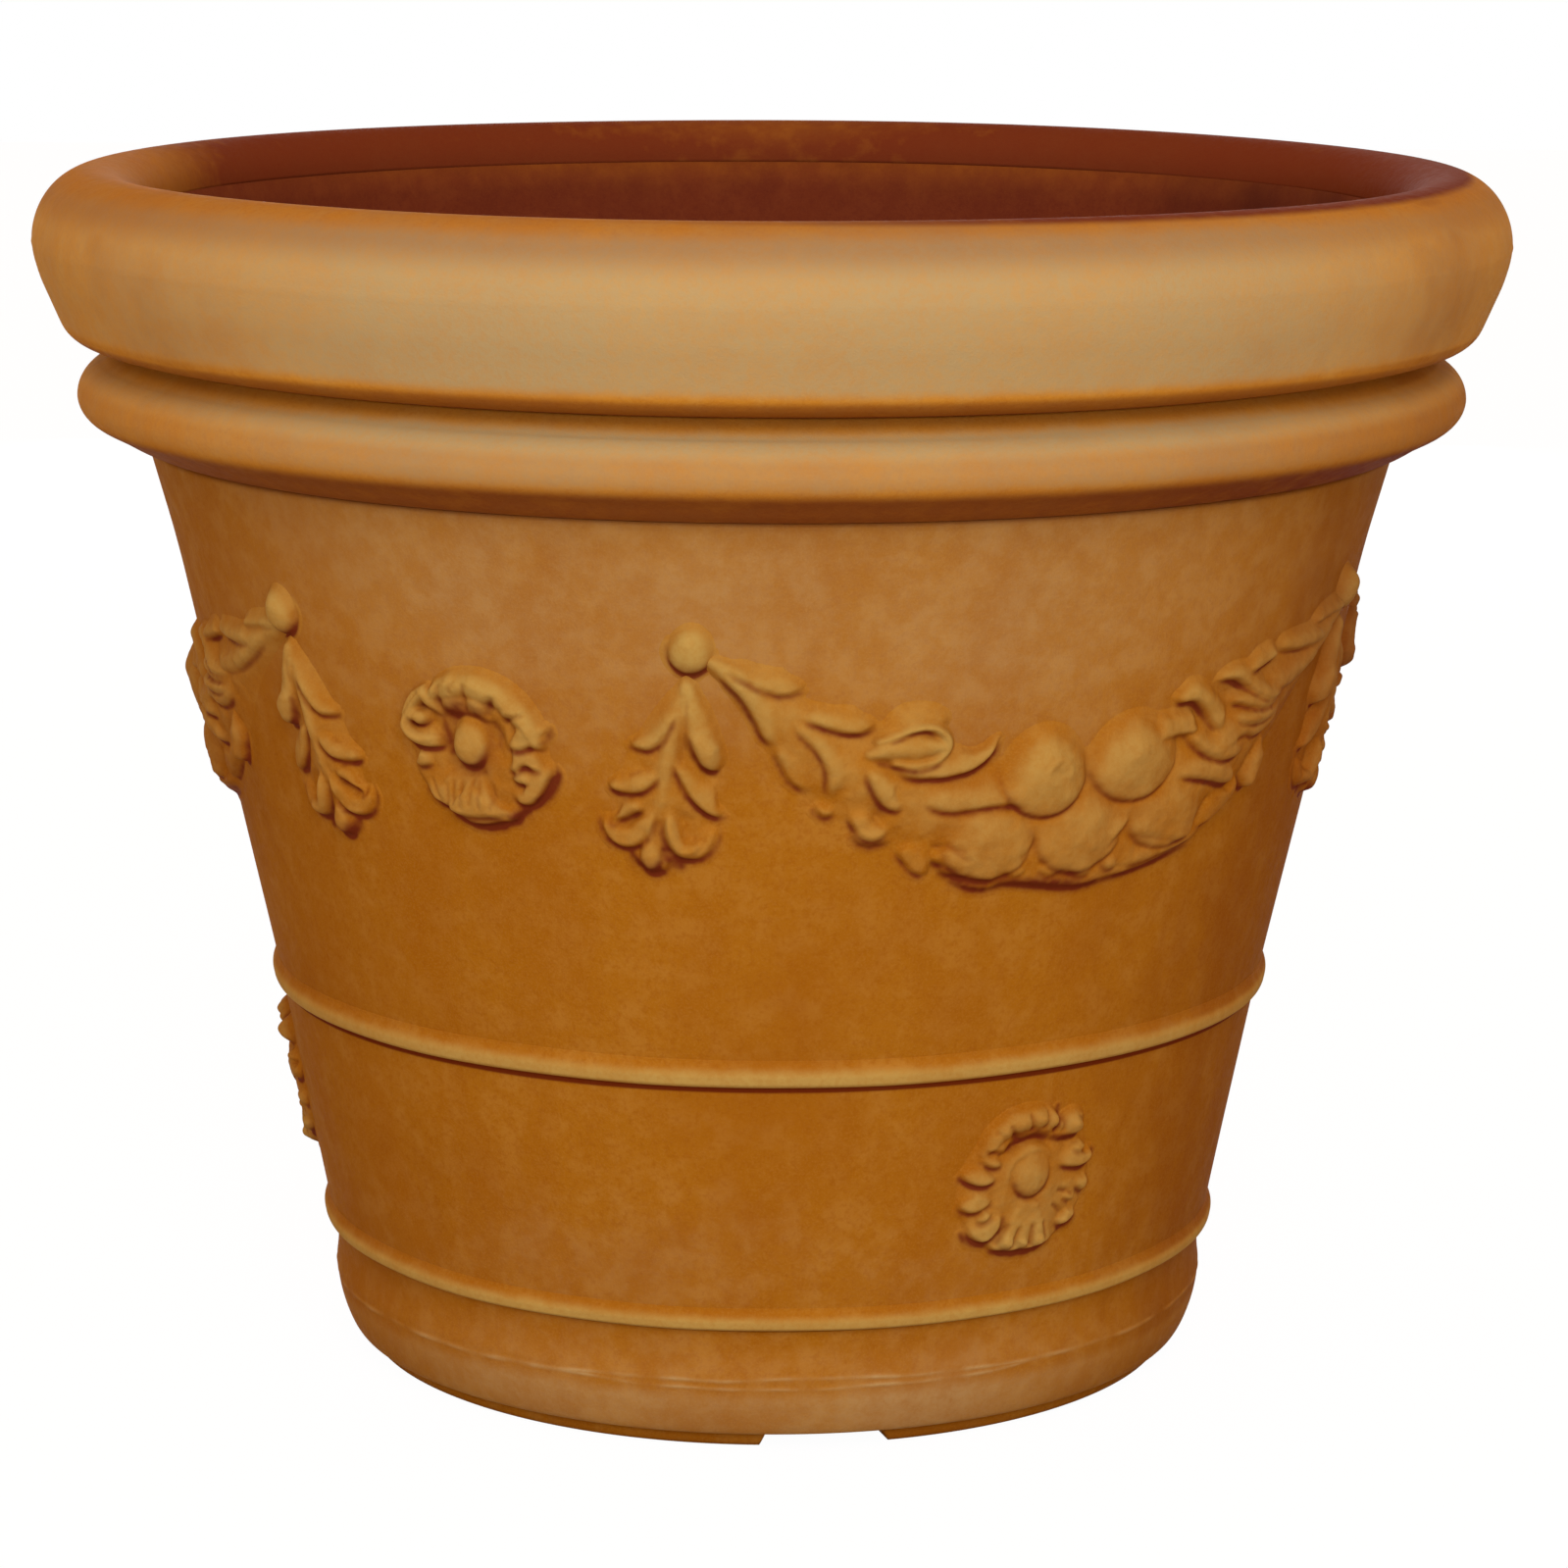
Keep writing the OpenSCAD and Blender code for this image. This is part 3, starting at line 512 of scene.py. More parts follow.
    # Leaves and curls at the right
    s.fold([(53, 343), (56, 334.5), (59.5, 337), (63, 345), (67, 357)], [4, 8, 9, 8, 4],
           [5, 6, 6, 5], 0.4, 1)
    s.fold([(44.6, 310.5), (47, 312), (50.4, 317), (52.4, 315.2), (54.4, 317), (55.8, 321), (57.4, 327)],
           [7, 10, 12, 13, 12, 9, 4], [7, 8, 8, 7.6, 6], 0.4, 1.5)
    s.fold([(38, 322), (40.6, 322), (42.6, 322), (44.2, 324)], [6, 10, 10, 6], [8, 8.5, 8], 0.5, 0)
    s.fold([(41, 304), (43.6, 302), (46.2, 299.2), (48.4, 296.4), (50, 296.2), (51.2, 300.5)],
           [4, 8, 9, 9, 8, 3], [9, 10, 10, 9.4, 7], 0.5, 1.9)
    s.fold([(41.9, 325), (42.9, 318.6), (44.4, 313), (46.4, 308.8), (48.8, 307.6), (51.2, 309.4)],
           [3, 7, 10, 12, 11, 4], [9, 10.4, 10.6, 10, 8], 0.14, 1.7)
    s.fold([(39.6, 338.5), (41.2, 336.4), (42.8, 336), (44.1, 331.6), (45.3, 325.5), (47, 318)],
           [3, 7, 9, 12, 13, 5], [7, 8.2, 8.8, 9, 8], 0.3, 1.1)
    s.fold([(48.1, 328.5), (48.8, 325.2), (50.2, 322.6), (53, 321.6), (56, 325)], [2, 5, 7, 7, 3],
           [8, 9.4, 9.4, 7], 0.3, 1.6)
    s.fold([(47.6, 333), (49.2, 331.3), (50.8, 329.3), (53, 327.8), (56.2, 328.4)], [2, 6, 6, 6, 3],
           [8.6, 10, 9.4, 7], 0.3, 1.8)
    s.fold([(45.2, 341), (46.8, 343), (48.4, 342.2), (49.8, 339), (51.6, 334.4), (53.6, 331.2),
            (57, 331.6)],
           [2, 5, 8, 9, 8, 6, 3], [7, 8.4, 9, 8.8, 7.6], 0.3, 1.6)
    s.fold([(49.6, 345.6), (51.6, 345.2), (53.6, 347.4), (55.6, 350.6)], [3, 7, 8, 4], [6, 7.4, 7, 6],
           0.3, 1.6)
    s.fold([(54.4, 352.4), (56.8, 350.2), (60, 349.8), (62.6, 351), (64.4, 355)],
           [4, 9, 10, 9, 4], [5, 6.8, 7, 5.6], 0.35, 1.4)
    s.fold([(61.5, 358), (64.4, 359.8), (67, 361.6), (69.4, 362.6)], [3, 6, 7, 4], [4.6, 5.6, 5], 0.3, 1)
    # Painted shade and wash along the swag's lower edge and under the lower fruit
    s.stain_and_shade_lines(([(17, 268), (19.6, 263.6), (22, 262.6)], [1.6, 3.4, 2.4], 0.95),
             ([(20.5, 265), (25, 264.5), (29, 262.5), (33, 261)], [2, 3, 3.6, 2], 0.95),
             ([(27, 261.5), (31, 259.5), (35, 261.4)], [2, 3.2, 2], 0.95),
             ([(35, 262), (39, 262.4), (44, 266.6), (48, 270.4)], [1.2, 1.6, 1.6, 1], 0.95),
             ([(24.4, 292), (25.6, 283), (26, 274)], [2, 3, 2], 0.4))
    # The upper fruit
    s.dome(36, 318, 24.5, 21.5, 10.4, 1.8, 0.5, 1.1)
    s.dome(26.2, 315.6, 21.8, 21.8, 10.6, 1.8, 0.5, 1.3)
    ring = [(27 + 1.3 * math.cos(t), 313.8 + 5.6 * math.sin(t)) for t in np.linspace(-1, 5, 13)]
    s.line(ring, 0.9, -1.3, 0)
    s.line([(26.5, 315.6), (27, 313.6), (27.4, 311.6)], 1.3, 1.1, 0.2)
    return s.settle(0.75, 0.22)


def drop_relief():
    """Leaves hung from the stud at the front, leaning to its left"""
    d = Relief(-19, -1, 262, 366, 0.7)
    d.ridge([(-7.4, 356), (-8.3, 345), (-9.4, 322), (-10.2, 300), (-11, 284)], [4, 13, 20, 25, 19],
            [1.5, 4.4, 5.2, 5.2, 3.6], 1.8)
    d.ridge([(-7.4, 357), (-8.2, 344), (-9.2, 324), (-9.9, 306), (-10.2, 297)], [3, 6, 7, 6.5, 4],
            [2, 5.6, 6.6, 6.6, 5.6], 0.9)
    # Bud at the bottom
    d.fold([(-13.2, 283), (-12.7, 276.5), (-11.6, 272.4), (-10.4, 272.2), (-9.4, 276), (-8.8, 281)],
           [6, 10, 12, 12, 11, 5], [3, 4, 4, 4, 3.4], 0.3, 1)
    # Painted shade round the bud's sides and bottom
    d.stain_and_shade_lines(([(-13.2, 284), (-12.9, 278.6), (-12, 273.6)], [2, 3.4, 2.4], 0.95),
             ([(-10.5, 286), (-9.6, 279.6), (-8.6, 275.4), (-7.6, 276)], [1.6, 3.2, 3, 1.6], 0.95),
             ([(-12.4, 273.6), (-11, 270.8), (-9.6, 273)], [1.6, 2.2, 1.6], 0.95))
    d.dome(-11.2, 280.6, 4.8, 7.6, 6.6, 0.7, 0.5)
    d.ridge([(-11.1, 288), (-11, 294), (-10.4, 302)], [3.4, 3.4, 3], [6, 6, 6], 0.8)
    # Leaves at the left, from the lowest up
    d.fold([(-15.9, 301), (-16, 292), (-15.3, 285.6), (-14, 282.6), (-12.5, 283.8), (-11.4, 288.4),
            (-10.7, 295), (-10.2, 302)],
           [4, 9, 11, 11, 11, 10, 7, 3], [4, 5.6, 7, 7.4, 7.2, 6.6], 0.45, 1.7)
    d.fold([(-14.9, 299), (-14.8, 293), (-14.1, 294.6), (-12.8, 297), (-11.2, 301.6)],
           [2, 5, 7, 8, 3], [6, 7, 7.6, 7], 0.35, 1.2)
    d.swells((-13.9, 294, 3.8, 1.8, -2.6), (-12.4, 297.6, 4, 2, -2))
    d.fold([(-15.8, 311.4), (-14.6, 307.8), (-13, 306.8), (-11.6, 308.4), (-10.5, 312.4), (-9.7, 318)],
           [3, 8, 10, 10, 8, 4], [5, 7, 7.8, 7.6, 7], 0.28, 1.9)
    d.line([(-13.2, 314.6), (-12.4, 316), (-11.6, 318)], 1, 1)
    d.fold([(-13.6, 331.5), (-12.5, 327.2), (-11, 326.6), (-9.9, 329.6), (-9, 336), (-8.2, 345)],
           [2, 6, 8, 7, 5, 3], [3.6, 6, 6.8, 7, 6.4], 0.28, 1.8)
    # Leaves at the right
    d.fold([(-9.6, 301), (-9.9, 290), (-9.2, 281.5), (-8.1, 278.2), (-6.6, 278.4), (-5.4, 283),
            (-4.7, 291), (-5, 298)],
           [4, 9, 12, 13, 13, 12, 9, 4], [5.6, 7.6, 8.4, 7.4, 4.4, 3], 0.4, 1.6, 2)
    d.fold([(-9.6, 302), (-9.7, 292), (-9, 283), (-8, 280), (-6.9, 281.4), (-6, 286.4)],
           [2, 4.6, 5, 5, 5, 2.5], [7, 8.4, 8.6, 8], 0.5, 0)
    d.swells((-7.5, 290.6, 3.4, 5, -4.4), (-8.2, 297, 2.6, 4, -2))
    d.fold([(-8.9, 324), (-8.3, 316), (-7.6, 308.4), (-6.6, 302), (-5.5, 298), (-4.5, 297.4), (-3.4, 301)],
           [2, 7, 11, 14, 14, 13, 4], [7, 8, 8, 7.6, 6, 4], 0.22, 2)
    d.ridge([(-7.3, 354), (-7, 343), (-6.4, 333), (-5.6, 325)], [5, 9, 10, 8.5], [4.6, 6, 6.6, 6.8], 1.1)
    d.fold([(-7.2, 336), (-6.8, 328), (-6.2, 321.6), (-5.2, 318), (-4.1, 319)],
           [3, 9, 12, 12, 5], [6.6, 8, 8.2, 6.6, 4.4], 0.5, 1.8)
    d.line([(-7.2, 352), (-7.5, 335), (-8.3, 318)], 1.2, 0.8)
    return d.settle(0.7, 0.2)


def upper_rosette_relief():
    """Ragged open flower: a button in a dish, and a lip of leaves round it"""
    r = Relief(-38.4, -17.6, 278, 364, 0.6)
    r.dome(-28.2, 321, 36, 33, 5, 1.2, 0.35, 0)
    # Bottom fan
    r.fold([(-35, 308), (-34.2, 302), (-33.4, 296.4), (-32, 293.6), (-30.6, 290), (-29.2, 286.2),
            (-27.6, 287), (-26, 288.8), (-24.4, 290.4), (-23.9, 296), (-24.6, 303)],
           [8, 15, 18, 22, 24, 25, 24, 20, 14, 6], [5, 6.4, 7, 7.6, 7.6, 7.4, 5.6], 0.3, 1.4, 2)
    r.fold([(-31.9, 299), (-31.3, 293), (-30, 291.4), (-28.6, 291), (-27, 292), (-25.7, 292.6),
            (-24.9, 296.4)],
           [5, 14, 18, 19, 18, 13, 5], [7.4, 8.8, 9, 9, 9.4, 8], 0.3, 1)
    for points in ([(-31.4, 306), (-31.4, 298), (-31.6, 293)], [(-29.6, 309), (-29.8, 300), (-29.9, 293)],
                   [(-28.2, 310), (-28.7, 302), (-29, 295)], [(-27.6, 310), (-27.8, 302), (-27.9, 294)],
                   [(-26.6, 308), (-26.4, 300), (-26.6, 294)], [(-33.4, 307), (-32.8, 302), (-32.4, 297)],
                   [(-30.6, 308), (-30.7, 301), (-30.8, 295)]):
        r.line(points, 0.9, 1)
    # Right side
    r.fold([(-24.9, 305), (-24, 299.4), (-22.9, 298.2), (-21.8, 301), (-20.9, 307), (-20.2, 314),
            (-19.9, 320)],
           [7, 13, 14, 14, 12, 9, 4], [6, 8, 8, 7.6, 6], 0.4, 2, 2)
    r.fold([(-24.4, 310.4), (-23.4, 307.8), (-22.3, 309)], [4, 7, 4], [8.4, 9, 8.4], 0.4, 1.2)
    r.fold([(-24.8, 315.4), (-23.8, 313.2), (-22.9, 316), (-21.9, 314.6), (-20.8, 314.8)],
           [4, 9, 10, 9, 4], [7, 8.8, 8.6, 7.4], 0.4, 1.6)
    r.fold([(-25, 327), (-24.2, 323.6), (-22.8, 323.6), (-21.6, 326.2), (-20.6, 331), (-20.1, 337)],
           [6, 14, 18, 18, 14, 6], [6, 8.6, 9.2, 8.4, 5], 0.3, 2)
    r.fold([(-25.4, 342), (-24.6, 340.6), (-23.8, 340.2), (-22.6, 343)], [4, 9, 9, 4], [6, 7, 6], 0.3, 1)
    # Top: ragged petals that fall into the dish and fade into the wall
    r.ridge([(-32.8, 340), (-31.6, 344.4), (-29.8, 348), (-27.4, 349), (-25.2, 345.6), (-23.4, 339.4),
             (-22.2, 333), (-21.6, 327)],
            [4, 7, 9, 9.4, 10, 10, 8, 5], [5.6, 6.2, 6.6, 6.8, 7, 7, 7, 6.4], 1.3)
    r.ridge([(-32.4, 336), (-30.6, 339), (-28, 340), (-25.8, 337), (-24.6, 331), (-24.4, 325)],
            [6, 9, 10, 9, 7, 4], [5, 5.6, 5.8, 6, 5.8, 5], 1)
    r.swells((-31.4, 347.6, 3.6, 4, 1.2), (-29.8, 351, 3, 4, 1.4), (-27.4, 351.4, 4, 4, 1.8),
             (-25, 347, 4, 4, 1.6), (-23.2, 340, 4.4, 3.6, 1.4), (-22.2, 331, 4, 4, 1.2))
    for points, width in (([(-31.2, 337), (-31.2, 343), (-30.8, 350)], 1.6),
                          ([(-29.8, 345), (-29.5, 349), (-29, 352)], 0.8),
                          ([(-28.4, 338), (-28.3, 345), (-28, 352)], 1.3),
                          ([(-26.4, 336), (-25.8, 342), (-25, 347)], 1.7),
                          ([(-24.9, 334), (-23.8, 337), (-22.2, 339)], 1.2),
                          ([(-32.6, 344), (-32.2, 347), (-31.6, 350)], 0.9)):
        r.line(points, width, 1.6, 0.5)
    r.swells((-30.3, 341, 4, 5, 1.2), (-27.2, 342, 4.4, 5, 1.2), (-24.4, 338.6, 3.4, 3.4, 1))
    # Left side: a rolled leaf with a double lip round a lobe
    r.fold([(-36.1, 331), (-35.8, 325.4), (-34.8, 321.4), (-33.4, 319.9), (-31.8, 320.8), (-30.6, 323.6)],
           [4, 12, 18, 20, 16, 6], [5, 7.4, 8.4, 8, 6], 0.3, 2)
    r.ridge([(-32.7, 347.6), (-34.1, 343), (-35.1, 336.5), (-35.8, 329)], [1.2, 2, 2, 1.2],
            [5, 5.6, 5.6, 4.6], 0.6)
    r.ridge([(-32.6, 345.6), (-33.7, 340.6), (-34.6, 334.6), (-35, 328.4), (-33.8, 324.4), (-31.6, 325)],
            [1.8, 2.6, 3, 4, 4, 2.4], [7, 8, 8.4, 8.8, 8.4, 6.6], 0.6)
    r.ridge([(-31.4, 336), (-32.4, 341), (-33, 345)], [3, 5, 3], [6.4, 7.4, 7], 0.7)
    r.swells((-33, 333.4, 7, 7.4, -3))
    r.dome(-33.6, 333.6, 4.6, 3.9, 8, 0.6, 0.5, 1)
    r.fold([(-35.3, 314), (-34.7, 310.8), (-33.6, 311.4), (-32.6, 313.4)], [3, 8, 8, 4], [5, 6.6, 6],
           0.5, 1.4)
    r.line([(-35.3, 318), (-35.2, 314), (-35, 311)], 0.8, 1.2)
    # The dish, deepest above the button, and darkest there: wash, and painted shade under the top petals
    r.swells((-28.6, 334, 13, 6, -2.4), (-30.8, 327, 6, 13, -4), (-25.6, 330, 5, 12, -3.4),
             (-29.4, 312.6, 9, 4, -2.2))
    r.stain_and_shade_lines(([(-31.2, 336), (-31, 326), (-30.4, 315)], [3, 3.4, 3], 0.8),
             ([(-26.2, 337), (-25.4, 330), (-25.6, 320)], [2.6, 3, 2.4], 0.6),
             ([(-30.6, 314), (-28.4, 311), (-26.2, 313)], [1.6, 2.4, 1.6], 0.75))
    r.wash_and_shade(-29, 336.6, 14, 7.5, 0.9)
    r.wash_and_shade(-28.4, 324, 16, 19, 0.62)
    r.dome(-28.4, 325, 9, 11.6, 8.2, 1.1, 0.5, 1.6, 4)
    # Painted shade on the wall at the lower right, and under the fan
    r.stain_and_shade_lines(([(-22.6, 297.6), (-21.2, 303), (-20.2, 310), (-19.6, 317)], [1.8, 3, 3, 1.6], 1),
             ([(-25.6, 291.6), (-24, 294), (-22.8, 297)], [2, 3.4, 2], 0.95),
             ([(-32.6, 291), (-30, 287.6), (-27.4, 286.2), (-24.6, 289)], [1.4, 2.2, 2.4, 1.8], 1),
             ([(-21.4, 325.4), (-20.4, 329), (-19.8, 333)], [1.2, 1.8, 1], 0.6),
             ([(-34.8, 302), (-33.8, 296), (-32.4, 292)], [1.2, 1.6, 1.4], 0.6))
    return r.settle(0.6, 0.22)


def lower_rosette_relief():
    """The same kind of flower, worn flatter, under the middle bead"""
    r = Relief(19.6, 43, 82, 168, 0.6, wear_and_highlight=0.2)
    r.dome(31.1, 122.6, 36, 34.6, 5, 1, 0.35, 0)
    # Bottom
    r.fold([(25.6, 95.4), (27.2, 90.4), (29, 89.2), (31, 89), (33, 88.8), (34.8, 90.4), (36.6, 95.6)],
           [12, 22, 24, 25, 24, 22, 12], [5, 5.8, 6.2, 6.4, 6.2, 5], 0.2, 1.4, 1.8)
    for edge in ([(27.4, 95.5), (28.2, 92.4), (29.2, 91.6), (30, 94.5)],
                 [(30, 95), (30.7, 91.4), (31.4, 91.2), (31.9, 94)],
                 [(31.9, 94.6), (32.7, 91), (33.8, 91.4), (34.4, 95)]):
        r.fold(edge, [4, 11, 12, 4], [6.8, 7.8, 7], 0.4, 0.8)
    # Right side, from the bottom up
    r.fold([(35.2, 101.5), (36.1, 98.3), (37.2, 98.4), (38.3, 101.6), (38.6, 106)],
           [5, 12, 13, 10, 4], [4.6, 6.4, 6.2, 5], 0.4, 1.6)
    r.fold([(35.8, 112), (36.7, 110), (37.5, 108.6)], [3, 5, 3], [6, 6.8, 6], 0.3, 1.4)
    r.fold([(37.2, 117.4), (38.2, 114.4), (39.1, 112.4), (39.8, 116), (39.6, 122)],
           [4, 8, 8, 6, 3], [5, 6, 5.6], 0.5, 1.4)
    r.fold([(34, 129.4), (35.6, 126.6), (37.6, 125), (39.2, 125.8), (40, 130), (39.6, 136)],
           [5, 12, 15, 13, 9, 4], [4.6, 6.8, 7.2, 6.4, 5], 0.4, 2)
    r.fold([(36, 135.4), (37, 133.4), (38, 132.8), (38.8, 135.4)], [3, 6, 6, 3], [6.6, 7.4, 6.4],
           0.4, 1.2)
    # Top
    r.ridge([(24.9, 138.6), (26, 145.6), (28.2, 150.4), (30.8, 151.6), (33, 149.8), (34.2, 146)],
            [4, 6.4, 7.6, 8, 7.2, 4.6], [4.6, 5.6, 6.2, 6.2, 6, 5], 1)
    r.dome(36, 147.2, 8.6, 7.8, 6.8, 1.3, 0.6, 0.6, -32)
    r.ridge([(26.4, 138.4), (28.2, 143), (31, 145.4), (34, 143), (36.6, 140.4)], [4, 6, 7, 6, 4],
            [4.6, 4.8, 5, 5, 4.6], 1)
    r.swells((26.8, 147, 3.4, 4, 1.2), (28.8, 151, 3.4, 4, 1.4), (31.2, 152.4, 3.6, 4, 1.5),
             (33.4, 150.4, 3.2, 4, 1.2), (36.2, 146, 4.4, 4, 1.4))
    for points in ([(34.6, 143), (34.6, 149), (33.4, 156)], [(27.2, 152), (28, 146.6), (28.9, 142)],
                   [(25.6, 149), (26.6, 145), (27.5, 142)], [(36.3, 151), (37.5, 147), (38.3, 141)],
                   [(29.8, 156), (30.2, 150), (30.4, 146)], [(32.4, 156), (32.2, 150), (31.8, 146.6)],
                   [(29.4, 90), (29.8, 96), (30.3, 102)], [(31.9, 90), (32, 97), (32, 103)],
                   [(34.2, 92), (33.8, 98), (33.4, 103)], [(27.2, 93), (28, 99), (28.9, 104)],
                   [(36.4, 103), (35.4, 107), (34.4, 110)], [(37.6, 112), (36.2, 114.6), (34.8, 116)]):
        r.line(points, 1.2, 1.7, 0.6)
    r.line([(34.2, 158), (34, 151), (33.4, 143)], 1.4, 2.2, 0.85)
    # Left side, from the top down
    r.fold([(24.6, 141), (25.4, 138.7), (26.4, 138.7), (27.2, 136.6)], [4, 10, 11, 4], [5, 6.4, 6],
           0.4, 1.4)
    r.fold([(24, 135.4), (25, 132.3), (26.2, 130.8), (27.2, 132.6)], [3, 6, 6, 3], [5, 6.6, 6], 0.4, 1.8)
    r.fold([(21.6, 130.4), (22.8, 125.6), (24.2, 123.2), (25.6, 123.6), (26.8, 126.6)],
           [3, 8, 10, 9, 4], [4.4, 6.4, 7, 6.4], 0.3, 2)
    r.fold([(21.6, 115), (22.9, 111.2), (24.2, 110.4), (25.6, 112.8), (26.6, 117)],
           [4, 10, 12, 11, 4], [4.4, 6, 6.4, 5.6], 0.4, 1.4)
    r.fold([(23, 104.6), (24, 98.4), (25.2, 95.4), (26.4, 96), (27.4, 100.4), (27.7, 106), (27.5, 112)],
           [4, 10, 12, 12, 11, 8, 4], [4.4, 6.6, 7, 6.6, 5.6], 0.4, 1.9)
    r.fold([(24.3, 106.8), (25.2, 105.2), (26, 107), (26.5, 110)], [3, 5, 5, 3], [6.6, 7.4, 6.8], 0.4, 1.2)
    # The hollow over the button, with wash and painted shade in it and along the flower's lower edges, and
    # the button in its ring
    r.stain_and_shade_lines(([(26.6, 137), (28.6, 141), (31, 142.6), (33.6, 141.4)], [2, 3.4, 4, 3], 0.95),
             ([(32.6, 142.4), (35, 140.6), (37.6, 140.8)], [2.4, 2.2, 1.2], 0.95),
             ([(27.4, 142.6), (29.6, 146), (32, 146.6)], [1, 1.8, 1], 0.5),
             ([(26.8, 90.6), (29.4, 87.4), (32, 86.8), (35, 88.6)], [1.2, 1.8, 1.8, 1.2], 0.95),
             ([(22.4, 103), (23.8, 96), (25.6, 93.4), (27.2, 92)], [1.2, 2, 2, 1.2], 0.85),
             ([(35.2, 97.6), (37, 96), (38.6, 98.6), (39.2, 103)], [1.2, 2, 2, 1.2], 0.85),
             ([(38.8, 110), (39.9, 113), (40.4, 118)], [1, 1.5, 1], 0.7))
    r.swells((31, 142.6, 14, 3.6, -2.6), (36.2, 139.8, 9, 2.2, -2), (28, 139, 5, 4, -2))
    r.ridge([(29.3, 114.5), (28.2, 120), (27.8, 127), (28.5, 134), (30.4, 138), (32.4, 136.6), (33.8, 131)],
            [2, 3.6, 4.4, 4.8, 4.8, 4.2, 2], [4.2, 4.8, 5.2, 5.6, 5.6, 5, 4.4], 1.1)
    # Painted shade round the button
    r.wash_and_shade(30.8, 124, 13, 15, 0.3)
    r.dome(30.8, 127.4, 9.6, 12.4, 7.4, 1.3, 0.55, 1.4, -8)
    r.line([(31.4, 114.6), (32, 113.2), (32.5, 112)], 0.9, 0.9)
    return r.settle(0.6, 0.22)


def stud_relief():
    """Egg-shaped knob"""
    s = Relief(-12.4, -1.6, 350, 392, 0.6)
    # Painted shade round the knob's lower left
    s.stain_and_shade_lines(([(-8.5, 377), (-8.9, 370), (-8.2, 364.4), (-6.8, 360.2), (-5.6, 361.4)],
              [1.6, 3, 3.4, 3.2, 2], 0.62))
    s.dome(-6.9, 371.6, 10.6, 12, 7.8, 1.6, 0.5, 1.3, 14)
    return s.settle(0.6, 0.15)


class Graph:
    """A node tree in the making: numbers and outputs go in, outputs come out"""

    def __init__(self, owner):
        owner.use_nodes = True
        self.tree = owner.node_tree

    def put(self, node, *inputs):
        """Gives a node's inputs their numbers, or the outputs that lead to them"""
        for key, value in inputs:
            if isinstance(value, bpy.types.NodeSocket):
                self.tree.links.new(value, node.inputs[key])
            elif value is not None:
                node.inputs[key].default_value = value

    def add(self, kind, *inputs, **settings):
        node = self.tree.nodes.new("ShaderNode" + kind)
        for key, value in settings.items():
            setattr(node, key, value)
        self.put(node, *inputs)
        return node.outputs

    def math(self, kind, *values):
        return self.add("Math", *enumerate(values), operation=kind)[0]

    def noise(self, scale, detail=2, rough=0.5, stretch=(1, 1, 1), seed=0):
        place = (seed, seed * 0.7, seed * 1.3)
        where = self.add("Mapping", ("Vector", self.add("TexCoord")["Object"]), ("Scale", stretch),
                         ("Location", place))[0]
        return self.add("TexNoise", ("Vector", where), ("Scale", scale), ("Detail", detail),
                        ("Roughness", rough))["Fac"]

    def attribute(self, name):
        return self.add("Attribute", attribute_name=name)["Fac"]

    def spread(self, value, low, high, out_low=0.0, out_high=1.0):
        """Maps low..high onto out_low..out_high, smoothly, and holds it there"""
        inputs = enumerate((value, low, high, out_low, out_high))
        return self.add("MapRange", *inputs, interpolation_type="SMOOTHSTEP")[0]

    def mix(self, share, a, b):
        return self.add("Mix", (0, share), (6, a), (7, b), data_type="RGBA")[2]

    def bump(self, height, distance, strength, normal=None):
        return self.add("Bump", ("Height", height), ("Distance", distance), ("Strength", strength),
                        ("Normal", normal))[0]

    def finish(self, output, plain, shown, share):
        """Ends in the plain shader, and in a share of the shown one for what the camera
        sees, also by reflection or through glass"""
        paths = self.add("LightPath")
        seen = self.math("MAXIMUM", paths["Is Camera Ray"], paths["Is Glossy Ray"])
        seen = self.math("MAXIMUM", seen, paths["Is Transmission Ray"])
        share = self.math("MULTIPLY", seen, share)
        blend = self.add("MixShader", (0, share), (1, plain), (2, shown))[0]
        self.add(output, ("Surface", blend))


def srgb(r, g, b):
    linear = [c / 255 / 12.92 if c <= 10 else ((c / 255 + 0.055) / 1.055) ** 2.4 for c in (r, g, b)]
    return (*linear, 1)


# How strongly the clay finish shines, on a scale where 0.5 is plain plastic
SHEEN = 0.006


